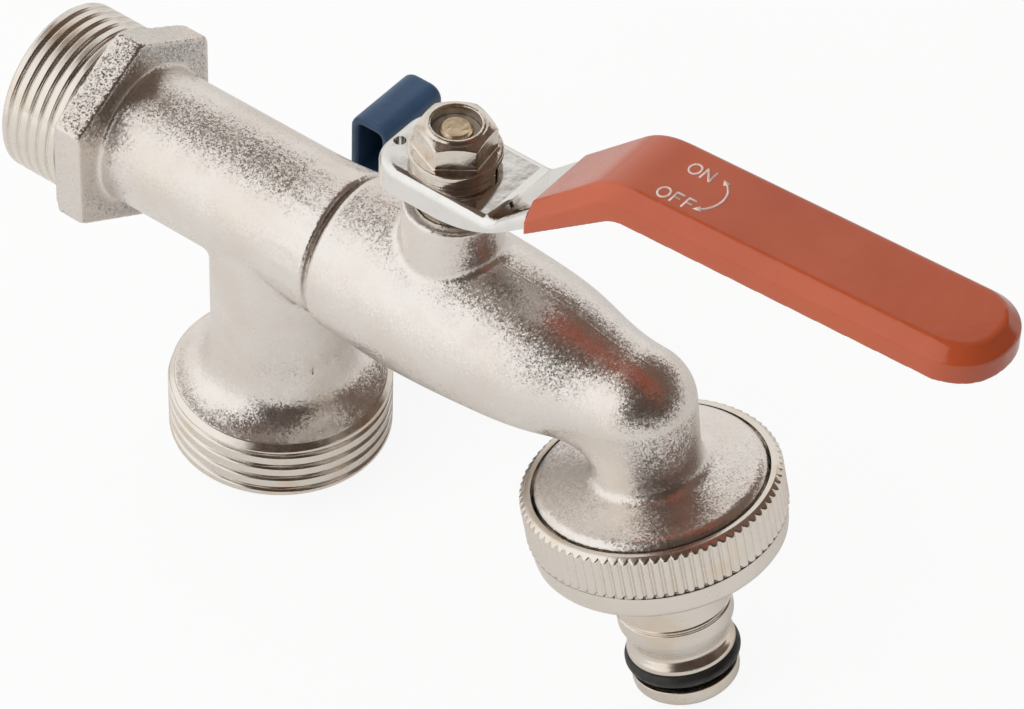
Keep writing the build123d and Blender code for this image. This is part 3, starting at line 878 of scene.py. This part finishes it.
@dataclass
class InletCasting:
    """Half of the body with the wall thread, hexagon, pipe and branch."""

    voxel: float = 0.34
    smoothing: int = 3
    keep: float = 0.55
    wave_mm: float = 0.012
    wave_len: float = 5.0
    hex_len: float = 5.0
    hex_margin: Pair = (0.4, 0.3)
    pipe_r: float = 11.4
    branch_r: float = 9.6
    shoulder_start: float = 25.0
    shoulder_end: float = 32.8
    shoulder_reach: float = 14.5
    shoulder_fade: Pair = (2.0, 1.5)
    shoulder_rounds: int = 250
    room_ends: Pair = (0.2, 0.5)
    room_over: float = 1.0
    wall_thread: ThreadSleeve = ThreadSleeve(
        name="wall_thread",
        axis=INLET,
        crest_r=13.22,
        pitch=1.814,
        depth=0.45,
        start=-11.4,
        end=0.2,
        start_lead=0.45,
        end_lead=0.0,
    )
    branch_thread: ThreadSleeve = ThreadSleeve(
        name="branch_thread",
        axis=BRANCH,
        crest_r=16.62,
        pitch=2.309,
        depth=0.7,
        start=32.6,
        end=43.3,
        start_lead=0.9,
        end_lead=0.9,
        turns=256,
    )

    def build_casting(self) -> Piece:
        """Make the casting with room for its threads and a slightly uneven skin.

        Returns:
            The casting.
        """
        piece = soft_copy("inlet_casting", "inlet_body", self.voxel, self.smoothing, self.keep)
        points, normals = read_points(piece), read_normals(piece)
        points += normals * (ripple(points, self.wave_len) * self.wave_mm)[:, None]
        points = self.make_room(points, self.wall_thread)
        points = self.make_room(points, self.branch_thread)
        write_points(piece, points)
        fill_creases(piece, self.shoulder_share(points), self.shoulder_rounds)
        keep_inside(piece, "inlet_body")
        self.mark_hexagon(piece)
        return piece

    def shoulder_share(self, points: Points) -> Points:
        """Return how much of the filling each point takes where the branch meets its shoulder.

        Args:
            points: the casting's points in millimetres.

        Returns:
            A share from 0 to 1 for each point.
        """
        radius, height = BRANCH.measure(points)
        down, across = self.shoulder_fade
        near = ramp(height, self.shoulder_start, down) * ramp(-radius, -self.shoulder_reach, across)
        return np.where((radius > self.branch_r) & (height < self.shoulder_end), near, 0.0)

    def make_room(self, points: Points, thread: ThreadSleeve) -> Points:
        """Draw the casting in under a thread sleeve.

        Args:
            points: the casting's points in millimetres.
            thread: the sleeve.

        Returns:
            The moved points.
        """
        radius, height = thread.axis.measure(points)
        core = thread.root_r - thread.buried / 2
        within = (height > thread.start + self.room_ends[0]) & (height < thread.end + self.room_ends[1])
        within &= (radius > core) & (radius < thread.crest_r + self.room_over)
        return thread.axis.set_radius(points, np.where(within, core, radius))

    def mark_hexagon(self, piece: Piece) -> None:
        """Number the hexagon's faces for the coarser finish, whose darker base colour is painted shade.

        Args:
            piece: the casting.
        """
        centres = np.empty(len(piece.data.polygons) * 3)
        piece.data.polygons.foreach_get("center", centres)
        radius, height = INLET.measure(centres.reshape(-1, 3) / MM)
        behind, ahead = self.hex_margin
        on_hexagon = (height > -behind) & (height < self.hex_len + ahead) & (radius > self.pipe_r)
        piece.data.polygons.foreach_set("material_index", on_hexagon.astype(np.int32))

    def build(self) -> None:
        """Make and dress the casting and its two threads."""
        dress(self.build_casting(), Body.TAP, [CAST_NICKEL, HEX_NICKEL_SHADED], ["inlet_body"])
        dress(self.wall_thread.build(), Body.TAP, [THREAD_NICKEL_X])
        dress(self.branch_thread.build(), Body.TAP, [THREAD_NICKEL_Z])


@dataclass
class OutletCasting:
    """Half of the body with the ball barrel, boss, spout, elbow and flange."""

    voxel: float = 0.32
    smoothing: int = 4
    keep: float = 0.6
    wave_mm: float = 0.012
    wave_len: float = 5.0
    flash_mm: float = 0.07
    flash_half_w: float = 0.2
    flash_low: float = 9.0
    flash_from: float = 44.5
    flash_facing: float = -0.2
    neck_r: float = 7.8
    neck_margin: float = 0.6
    neck_start: float = -4.0
    neck_end: float = -13.0
    elbow_r: float = 8.5
    crease_top: float = -14.0
    crease_bottom: float = -4.0
    crease_inner_r: float = 6.8
    crease_outer_r: float = 15.0
    crease_fade: Pair = (2.0, 1.5)
    crease_rounds: int = 500

    def build_casting(self) -> Piece:
        """Make the casting with its parting line.

        Returns:
            The casting.
        """
        piece = soft_copy("outlet_casting", "outlet_body", self.voxel, self.smoothing, self.keep)
        points, normals = read_points(piece), read_normals(piece)
        points += normals * (ripple(points, self.wave_len) * self.wave_mm)[:, None]
        points = self.widen_neck(points)
        write_points(piece, points)
        fill_creases(piece, self.elbow_share(points), self.crease_rounds)
        self.raise_flash(piece)
        keep_inside(piece, "outlet_body")
        return piece

    def widen_neck(self, points: Points) -> Points:
        """Let the neck grow evenly into the elbow.

        Args:
            points: the casting's points in millimetres.

        Returns:
            The moved points.
        """
        radius, height = OUTLET.measure(points)
        climb = ramp(-height, -self.neck_start, self.neck_start - self.neck_end)
        wanted = self.neck_r + (self.elbow_r - self.neck_r) * climb
        within = (height > self.neck_end) & (height < self.neck_start)
        within &= (radius > self.neck_r - self.neck_margin) & (radius < wanted)
        return OUTLET.set_radius(points, np.where(within, wanted, radius))

    def elbow_share(self, points: Points) -> Points:
        """Return how much of the filling each point takes: all in the elbow's crease and none beyond it.

        Args:
            points: the casting's points in millimetres.

        Returns:
            A share from 0 to 1 for each point.
        """
        radius, height = OUTLET.measure(points)
        above, below = self.crease_fade
        inside = ramp(height, self.crease_top, above) * ramp(-height, -self.crease_bottom, below)
        return np.where((radius > self.crease_inner_r) & (radius < self.crease_outer_r), inside, 0.0)

    def raise_flash(self, piece: Piece) -> None:
        """Cut the mesh along the mould's parting plane and raise a fine ridge there.

        Args:
            piece: the casting.
        """
        cut = bmesh.new()
        cut.from_mesh(piece.data)
        for side in (-self.flash_half_w, 0.0, self.flash_half_w):
            geometry = cut.verts[:] + cut.edges[:] + cut.faces[:]
            plane = {"plane_co": (0, side * MM, 0), "plane_no": (0, 1, 0)}
            bmesh.ops.bisect_plane(cut, geom=geometry, dist=CUT_SNAP, **plane)
        cut.normal_update()
        for vert in cut.verts:
            on_line = abs(vert.co.y) < TINY and vert.normal.z > self.flash_facing
            if on_line and vert.co.z > self.flash_low * MM and vert.co.x > self.flash_from * MM:
                vert.co += vert.normal * self.flash_mm * MM
        cut.to_mesh(piece.data)
        cut.free()
        piece.data.shade_smooth()

    def build(self) -> None:
        """Make and dress the casting."""
        dress(self.build_casting(), Body.TAP, [CAST_NICKEL], ["outlet_body"])


@dataclass
class HoseConnector:
    """Knurled coupling ring with its hose nipple."""

    teeth: int = 80
    steps_per_tooth: int = 8
    flank_share: float = 0.8
    crown: float = 0.6
    arc_steps: int = 2
    row_len: float = 0.3
    row_margin: float = 0.2
    draft: float = 0.05
    crest_start: float = 1.0
    knurl_end: float = 7.0
    knurl_margin: float = 0.3
    end_slope: float = 2.0
    undercut: float = 0.08
    undercut_places: Pair = (0.1, 0.45)
    crest_r: float = 18.6
    root_r: float = 18.02
    rim_r: float = 17.7
    rim_slope: float = 1.35
    lip_r: float = 18.1
    lip_bevel: float = 0.9
    ring_len: float = 11.0
    bore_r: float = 16.85
    floor: float = 9.4
    collar_r: float = 8.35
    collar_cove: float = 0.5
    mark_start: float = 16.0
    mark_depth: float = 0.16
    mark_slopes: Pair = (0.25, 0.3)
    collar_line: float = 21.8
    line_depth: float = 0.3
    line_places: Pair = (0.1, 0.4)
    line_end: float = 0.55
    collar_end: float = 24.6
    waist_r: float = 6.9
    waist_end: float = 27.9
    land_r: float = 7.85
    land_len: float = 0.7
    groove_start: float = 30.0
    groove_end: float = 33.3
    groove_r: float = 6.1
    tip_r: float = 7.75
    tip_bevel: float = 1.0
    nipple_len: float = 36.3
    nipple_bore_r: float = 4.9
    mouth_bevel: float = 0.4

    def outline(self) -> Outline:
        """Draw the turned shape from its coupling ring to the tip of its nipple and back through its bore.

        Returns:
            The closed outline as radius and place along the axis.
        """
        tool_mark = self.collar_r - self.mark_depth
        line_foot = self.collar_r - self.line_depth
        corners = [
            (self.bore_r + self.draft, 0.0, 0.08),
            (self.rim_r, 0.0, 0.1),
            (self.crest_r, self.crest_start, 0.0),
            (self.crest_r, self.knurl_end, 0.0),
            (self.lip_r - self.undercut, self.knurl_end + self.undercut_places[0], 0.1),
            (self.lip_r, self.knurl_end + self.undercut_places[1], 0.2),
            (self.lip_r, self.ring_len - self.lip_bevel, 0.5),
            (self.lip_r - self.lip_bevel, self.ring_len, 0.4),
            (self.collar_r + self.collar_cove, self.ring_len, 0.4),
            (self.collar_r, self.ring_len + self.collar_cove, 0.3),
            (self.collar_r, self.mark_start, 0.1),
            (tool_mark, self.mark_start + self.mark_slopes[0], 0.1),
            (tool_mark, self.collar_line - self.mark_slopes[1], 0.1),
            (self.collar_r, self.collar_line - self.draft, 0.1),
            (line_foot, self.collar_line + self.line_places[0], 0.08),
            (line_foot, self.collar_line + self.line_places[1], 0.08),
            (self.collar_r, self.collar_line + self.line_end, 0.1),
            (self.collar_r, self.collar_end, 0.4),
            (self.waist_r, self.waist_end, 0.5),
            (self.land_r, self.groove_start - self.land_len, 0.25),
            (self.land_r, self.groove_start, 0.12),
            (self.groove_r, self.groove_start + self.draft, 0.1),
            (self.groove_r, self.groove_end - self.draft, 0.1),
            (self.tip_r, self.groove_end, 0.12),
            (self.tip_r, self.nipple_len - self.tip_bevel, 0.5),
            (self.tip_r - self.tip_bevel, self.nipple_len, 0.3),
            (self.nipple_bore_r + self.mouth_bevel, self.nipple_len, 0.2),
            (self.nipple_bore_r, self.nipple_len - self.mouth_bevel, 0.2),
            (self.nipple_bore_r, self.floor, 0.2),
            (self.bore_r, self.floor, 0.2),
        ]
        line = rounded([(r, s) for r, s, _ in corners], [arc for _, _, arc in corners], self.arc_steps)
        return divided(line, self.row_len, self.rim_r - self.row_margin)

    def tooth(self, angle: Points) -> Points:
        """Give the height of the knurl.

        Args:
            angle: angles round the axis.

        Returns:
            The height at each angle, from 0 in a groove to 1 on a ridge.
        """
        phase = np.mod(angle * self.teeth / (2 * math.pi), 1.0)
        rise = np.clip((1 - np.abs(2 * phase - 1)) / self.flank_share, 0, 1)
        return rise * (1 + self.crown - self.crown * rise)

    def build_body(self) -> Piece:
        """Make the turned and knurled body, whose bevels cut the ends of the ridges.

        Returns:
            The body.
        """
        outline = np.array(self.outline())
        turns = self.teeth * self.steps_per_tooth
        angles = np.linspace(0, 2 * math.pi, turns, endpoint=False)
        radius, angle = np.meshgrid(outline[:, 0], angles)
        height = np.broadcast_to(outline[:, 1], radius.shape)
        knurled = self.root_r + self.tooth(angle) * (self.crest_r - self.root_r)
        top_bevel = self.rim_r + height * self.rim_slope
        end_bevel = self.lip_r - self.undercut + (self.knurl_end - height) * self.end_slope
        in_band = (height > self.draft) & (height <= self.knurl_end)
        in_band &= radius > self.bore_r + self.knurl_margin
        radius = np.where(in_band, np.minimum(knurled, np.minimum(top_bevel, end_bevel)), radius)
        points = OUTLET.points(radius, height, angle).reshape(-1, 3)
        return new_piece("hose_connector_body", points, ring_faces(turns, len(outline)))

    def build(self) -> None:
        """Make and dress the connector."""
        dress(self.build_body(), Body.CONNECTOR, [TURNED_NICKEL], ["hose_connector"])


@dataclass
class Lever:
    """Plated lever with its red sleeve, lettering and fastening."""

    grip_voxel: float = 0.22
    grip_smoothing: int = 6
    grip_keep: float = 0.5
    nut_voxel: float = 0.13
    nut_smoothing: int = 3
    slope: float = 2.7
    crest: Pair = (91.0, 44.699)
    sleeve_wall: float = 0.7
    ink_t: float = 0.06
    stroke: float = 0.32
    letter_h: float = 2.0
    cap_over: float = 0.6
    o_half_w: float = 0.84
    n_w: float = 1.72
    n_slant: float = 0.54
    f_w: float = 1.35
    f_arm_w: float = 0.85
    f_arm_h: float = 0.45
    on_o: Pair = (7.72, 2.2)
    on_n: Pair = (8.95, 1.1)
    off_o: Pair = (7.1, -3.9)
    off_f: tuple[Pair, Pair] = ((8.45, -4.95), (10.35, -4.95))
    curve_steps: int = 40
    arc_points: int = 33
    arc_centre: Pair = (10.42, -0.85)
    arc_r: float = 3.82
    arc_end: float = 50.0
    head_len: float = 17.0
    head_w: float = 1.05

    def build_grip(self) -> Piece:
        """Make the dipped sleeve with soft shoulders.

        Returns:
            The sleeve.
        """
        piece = soft_copy("red_grip", "lever_grip", self.grip_voxel, self.grip_smoothing, self.grip_keep)
        keep_inside(piece, "lever_grip")
        return piece

    def on_top(self, outline: Outline, height: float) -> Points:
        """Place flat outlines on the sleeve's top.

        Args:
            outline: places along and across the lever, from its crest corner.
            height: height above the sleeve, in millimetres.

        Returns:
            Points in millimetres.
        """
        slope = math.radians(self.slope)
        along = np.array([math.cos(slope), 0.0, math.sin(slope)])
        up = np.array([-math.sin(slope), 0.0, math.cos(slope)])
        start = np.array([self.crest[0], 0.0, self.crest[1]]) + up * (self.sleeve_wall + height)
        return np.array([start + along * s + np.array([0.0, t, 0.0]) for s, t in outline])

    def ink_slab(self, name: str, rings: Sequence[Outline]) -> Piece:
        """Make a thin raised print from one outline, or from two that bound a ring.

        Args:
            name: name of the piece.
            rings: outline, or outer and inner outline with equal counts.

        Returns:
            The print.
        """
        count = len(rings[0])
        layers = [self.on_top(ring, height) for height in (self.ink_t, -self.ink_t) for ring in rings]
        points = np.concatenate(layers)
        steps = [(index, (index + 1) % count) for index in range(count)]
        if len(rings) == 1:
            faces = [tuple(range(count)), tuple(range(2 * count - 1, count - 1, -1))]
            faces += [(a, b, b + count, a + count) for a, b in steps]
        else:
            order = (0, count, 3 * count, 2 * count)
            faces = []
            for first, second in zip(order, order[1:] + order[:1]):
                faces += [(first + a, first + b, second + b, second + a) for a, b in steps]
        return new_piece(name, points, faces)

    @property
    def cap_h(self) -> float:
        """Height of a straight letter, over its strokes."""
        return self.letter_h + self.stroke * self.cap_over

    def letter_o(self, middle: Pair) -> list[Outline]:
        """Draw a letter O.

        Args:
            middle: its middle, along and across the lever.

        Returns:
            Its outer and inner outline.
        """
        angles = [2 * math.pi * step / self.curve_steps for step in range(self.curve_steps)]
        rings = []
        for grow in (self.stroke / 2, -self.stroke / 2):
            w, h = self.o_half_w + grow, self.letter_h / 2 + grow
            rings.append([(middle[0] + w * math.cos(a), middle[1] + h * math.sin(a)) for a in angles])
        return rings

    def letter_n(self, foot: Pair) -> list[Outline]:
        """Draw a letter N.

        Args:
            foot: its lower left corner, along and across the lever.

        Returns:
            Its outline, as the only one.
        """
        s, t = foot
        w, h, k = self.n_w, self.cap_h, self.stroke
        return [
            [
                (s, t),
                (s + k, t),
                (s + k, t + h - self.n_slant),
                (s + w - k, t),
                (s + w, t),
                (s + w, t + h),
                (s + w - k, t + h),
                (s + w - k, t + self.n_slant),
                (s + k, t + h),
                (s, t + h),
            ]
        ]

    def letter_f(self, foot: Pair) -> list[Outline]:
        """Draw a letter F.

        Args:
            foot: its lower left corner, along and across the lever.

        Returns:
            Its outline, as the only one.
        """
        s, t = foot
        w, h, k = self.f_w, self.cap_h, self.stroke
        arm, arm_w = self.f_arm_h * h, self.f_arm_w * w
        return [
            [
                (s, t),
                (s + k, t),
                (s + k, t + arm),
                (s + arm_w, t + arm),
                (s + arm_w, t + arm + k),
                (s + k, t + arm + k),
                (s + k, t + h - k),
                (s + w, t + h - k),
                (s + w, t + h),
                (s, t + h),
            ]
        ]

    def turn_arrow(self) -> list[Outline]:
        """Draw the bent arrow with a head at each end.

        Returns:
            Its outline, as the only one.
        """

        def spot(radius: float, degrees: float) -> Pair:
            """Place a point on a circle about the arc's centre."""
            way = (math.cos(math.radians(degrees)), math.sin(math.radians(degrees)))
            return (self.arc_centre[0] + radius * way[0], self.arc_centre[1] + radius * way[1])

        sweep = np.linspace(-self.arc_end, self.arc_end, self.arc_points)
        outer = [spot(self.arc_r + self.stroke / 2, a) for a in sweep]
        inner = [spot(self.arc_r - self.stroke / 2, a) for a in sweep[::-1]]
        far_head = [
            spot(self.arc_r + self.head_w / 2, self.arc_end),
            spot(self.arc_r, self.arc_end + self.head_len),
            spot(self.arc_r - self.head_w / 2, self.arc_end),
        ]
        near_head = [
            spot(self.arc_r - self.head_w / 2, -self.arc_end),
            spot(self.arc_r, -self.arc_end - self.head_len),
            spot(self.arc_r + self.head_w / 2, -self.arc_end),
        ]
        return [outer + far_head + inner + near_head]

    def build_print(self) -> list[Piece]:
        """Make the plain words ON and OFF and the arrow between them.

        Returns:
            One print for each letter and the arrow.
        """
        return [
            self.ink_slab("print_on_o", self.letter_o(self.on_o)),
            self.ink_slab("print_on_n", self.letter_n(self.on_n)),
            self.ink_slab("print_off_o", self.letter_o(self.off_o)),
            self.ink_slab("print_off_f1", self.letter_f(self.off_f[0])),
            self.ink_slab("print_off_f2", self.letter_f(self.off_f[1])),
            self.ink_slab("print_arrow", self.turn_arrow()),
        ]

    def build(self) -> None:
        """Make and dress the sleeve, its print, the nut and the washer."""
        dress(self.build_grip(), Body.LEVER, [RED_VINYL], ["lever_grip"])
        for word in self.build_print():
            dress(word, Body.LEVER, [INK])
        for name, node in (("flanged_nut", "lever_nut"), ("spring_washer", "lever_spring_washer")):
            piece = soft_copy(name, node, self.nut_voxel, self.nut_smoothing)
            keep_inside(piece, node)
            dress(piece, Body.LEVER, [FASTENER], [node])


@dataclass
class Butterfly:
    """Dark blue moulded handle of the branch valve."""

    voxel: float = 0.28
    smoothing: int = 5

    def build(self) -> None:
        """Make and dress the handle."""
        piece = soft_copy("butterfly_handle", "branch_handle", self.voxel, self.smoothing)
        keep_inside(piece, "branch_handle")
        dress(piece, Body.BUTTERFLY, [NAVY], ["branch_handle"])


@dataclass
class FixedSolids:
    """Solids that keep their own shape and get a finish only."""

    def finishes(self) -> dict[str, Finish]:
        """Choose the finishes.

        Returns:
            The finish of each solid, by its name.
        """
        plan: dict[str, Finish] = {
            "lever_plate": BRIGHT_ZINC,
            "main_gland": GLAND_NICKEL,
            "branch_handle_nut": FASTENER,
            "lever_nut_insert": SHADED_INSERT_PLASTIC,
        }
        plan |= dict.fromkeys(("main_stem", "branch_stem", "branch_seat_retainer"), BRASS)
        plan |= dict.fromkeys(("main_ball", "branch_ball"), CHROME)
        seats = ("main_seat_inlet", "main_seat_outlet", "branch_seat_upper", "branch_seat_lower")
        plan |= dict.fromkeys(seats + ("main_thrust_washer", "branch_thrust_washer"), WHITE_PLASTIC)
        main_packings = ("main_packing_lower", "main_packing_upper")
        branch_packings = ("branch_packing_inner", "branch_packing_outer")
        rings = ("body_joint_ring", "connector_washer", "nipple_ring")
        plan |= dict.fromkeys(main_packings + branch_packings + rings, RUBBER)
        return plan

    def build(self) -> None:
        """Dress the solids."""
        for node, finish in self.finishes().items():
            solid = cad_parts[node]
            solid.data.materials.clear()
            solid.data.materials.append(material_of(finish))
            LOG.info("%s: %s", node, finish.name)


@dataclass
class Studio:
    """Camera, lamp, surroundings and floor."""

    azimuth: float = 35.868
    elevation: float = 44.859
    roll: float = 2.342
    distance: float = 678.10
    lens: float = 170.81
    sensor: float = 36.0
    clip: Pair = (10.0, 50000.0)
    target: Vec = (71.950, 0.0, -3.479)
    floor_gap: float = 0.4
    floor_half: float = 3000.0
    sky_level: float = 1.08
    soft_level: float = 0.78
    soft_tone: Colour = rgb(1.0, 0.99, 0.98)
    right_share: float = 0.45
    right_edge: Pair = (0.1, 0.7)
    top_tone: Colour = rgb(0.13, 0.09, 0.068)
    dark_tone: Colour = rgb(0.06, 0.04, 0.03)
    front_tone: Colour = rgb(1.0, 0.99, 0.975)
    back_tone: Colour = rgb(0.83, 0.81, 0.785)
    back_edge: Pair = (-0.3, 0.4)
    cap_way: Vec = (0.441, 0.168, 0.882)
    cap_edge: Pair = (0.495, 0.54)
    side_start: Pair = (3.0, 10.0)
    side_stop: Pair = (95.0, 115.0)
    key_way: Vec = (-0.45, -0.8, 0.55)
    key_reach: float = 900.0
    key_size: Pair = (1100.0, 800.0)
    key_watts: float = 5.0
    floor_pale: Colour = rgb(0.88, 0.87, 0.85)
    floor_shade: Colour = rgb(0.86, 0.85, 0.83)
    floor_glow: float = 0.9
    floor_scale: float = 40.0
    floor_edge: Pair = (0.3, 0.7)

    def build_camera(self) -> None:
        """Set the camera at the viewing angle of the photograph."""
        a, e, r = (math.radians(value) for value in (self.azimuth, self.elevation, self.roll))
        right = Vector((math.cos(a), math.sin(a), 0.0))
        back = Vector((math.sin(a) * math.cos(e), -math.cos(a) * math.cos(e), math.sin(e)))
        up = back.cross(right)
        across = right * math.cos(r) + up * math.sin(r)
        upward = up * math.cos(r) - right * math.sin(r)
        turn = Matrix((across, upward, back)).transposed().to_4x4()
        data = bpy.data.cameras.new("camera")
        data.lens = self.lens
        data.sensor_width = self.sensor
        data.clip_start, data.clip_end = (reach * MM for reach in self.clip)
        camera = bpy.data.objects.new("camera", data)
        place = Vector(self.target) * MM + back * self.distance * MM
        camera.matrix_world = Matrix.Translation(place) @ turn
        bpy.context.scene.collection.objects.link(camera)
        bpy.context.scene.camera = camera

    def build_key(self) -> None:
        """Set the soft key lamp, which faces the tap and stays out of its mirror images."""
        data = bpy.data.lights.new("key", "AREA")
        data.shape = "RECTANGLE"
        data.size, data.size_y = (side * MM for side in self.key_size)
        data.energy = self.key_watts
        lamp = bpy.data.objects.new("key", data)
        way = Vector(self.key_way).normalized()
        lamp.location = Vector(self.target) * MM + way * (self.key_reach * MM)
        lamp.rotation_mode = "QUATERNION"
        lamp.rotation_quaternion = way.to_track_quat("Z", "Y")
        lamp.visible_glossy = False
        bpy.context.scene.collection.objects.link(lamp)

    def build_world(self) -> None:
        """Set white surroundings, in which bright metal mirrors dark sides overhead and to the right."""
        world = bpy.data.worlds.new("studio")
        bpy.context.scene.world = world
        graph = Graph(world)
        look = graph.add("TexCoord").outputs["Generated"]
        way = graph.add("SeparateXYZ", {0: look})
        aim = tuple(Vector(self.cap_way).normalized())
        facing = graph.add("VectorMath", {0: look, 1: aim}, operation="DOT_PRODUCT").outputs["Value"]
        cap = graph.span(facing, *self.cap_edge)
        front = graph.calc(way.outputs["Y"], -1.0, "MULTIPLY")
        heading = graph.calc(way.outputs["X"], front, "ARCTAN2")
        starts = graph.span(heading, *(math.radians(angle) for angle in self.side_start))
        stops = graph.span(heading, *(math.radians(angle) for angle in self.side_stop), 1.0, 0.0)
        side = graph.calc(starts, stops, "MULTIPLY")
        tone = graph.blend(graph.span(way.outputs["Y"], *self.back_edge), self.front_tone, self.back_tone)
        tone = graph.blend(side, graph.blend(cap, tone, self.top_tone), self.dark_tone)
        right_level = self.soft_level * self.right_share
        soft = graph.span(way.outputs["X"], *self.right_edge, self.soft_level, right_level)
        rays = graph.add("LightPath")
        white = graph.add("Background", {"Color": rgb(1, 1, 1), "Strength": 1.0})
        plain = graph.add("Background", {"Color": self.soft_tone, "Strength": soft})
        sky = graph.add("Background", {"Color": tone, "Strength": self.sky_level})
        mirrored = rays.outputs["Is Glossy Ray"]
        seen = graph.add("MixShader", {0: mirrored, 1: plain.outputs[0], 2: sky.outputs[0]})
        direct = rays.outputs["Is Camera Ray"]
        both = graph.add("MixShader", {0: direct, 1: seen.outputs[0], 2: white.outputs[0]})
        graph.add("OutputWorld", {"Surface": both.outputs[0]})

    def build_floor(self) -> None:
        """Lay the pale floor just below the tap, white to the camera and with its shadow."""
        low, half = CAD_BOX[0].z / MM - self.floor_gap, self.floor_half
        corners = [(-half, -half, low), (half, -half, low), (half, half, low), (-half, half, low)]
        floor = new_piece("floor", np.array(corners), [(0, 1, 2, 3)])
        material = bpy.data.materials.new("pale floor")
        graph = Graph(material)
        cloud = graph.span(graph.speckle(self.floor_scale), *self.floor_edge)
        tone = graph.blend(cloud, self.floor_pale, self.floor_shade)
        diffuse = graph.add("BsdfDiffuse", {"Color": tone})
        glow = graph.add("Emission", {"Color": rgb(1, 1, 1), "Strength": 1.0})
        rays = graph.add("LightPath")
        share = graph.calc(rays.outputs["Is Camera Ray"], self.floor_glow, "MULTIPLY")
        mixed = graph.add("MixShader", {0: share, 1: diffuse.outputs[0], 2: glow.outputs[0]})
        graph.add("OutputMaterial", {"Surface": mixed.outputs[0]})
        floor.data.materials.append(material)

    def build(self) -> None:
        """Set up the studio."""
        bpy.context.scene.view_settings.view_transform = "Standard"
        self.build_camera()
        self.build_world()
        self.build_key()
        self.build_floor()
        LOG.info("studio ready")


def main() -> None:
    """Set up the studio and build the sub-assemblies in order."""
    logging.basicConfig(level=logging.INFO, format="%(name)s %(message)s")
    Studio().build()
    for assembly in (InletCasting(), OutletCasting(), HoseConnector(), Lever(), Butterfly(), FixedSolids()):
        assembly.build()


if __name__ == "__main__":
    main()
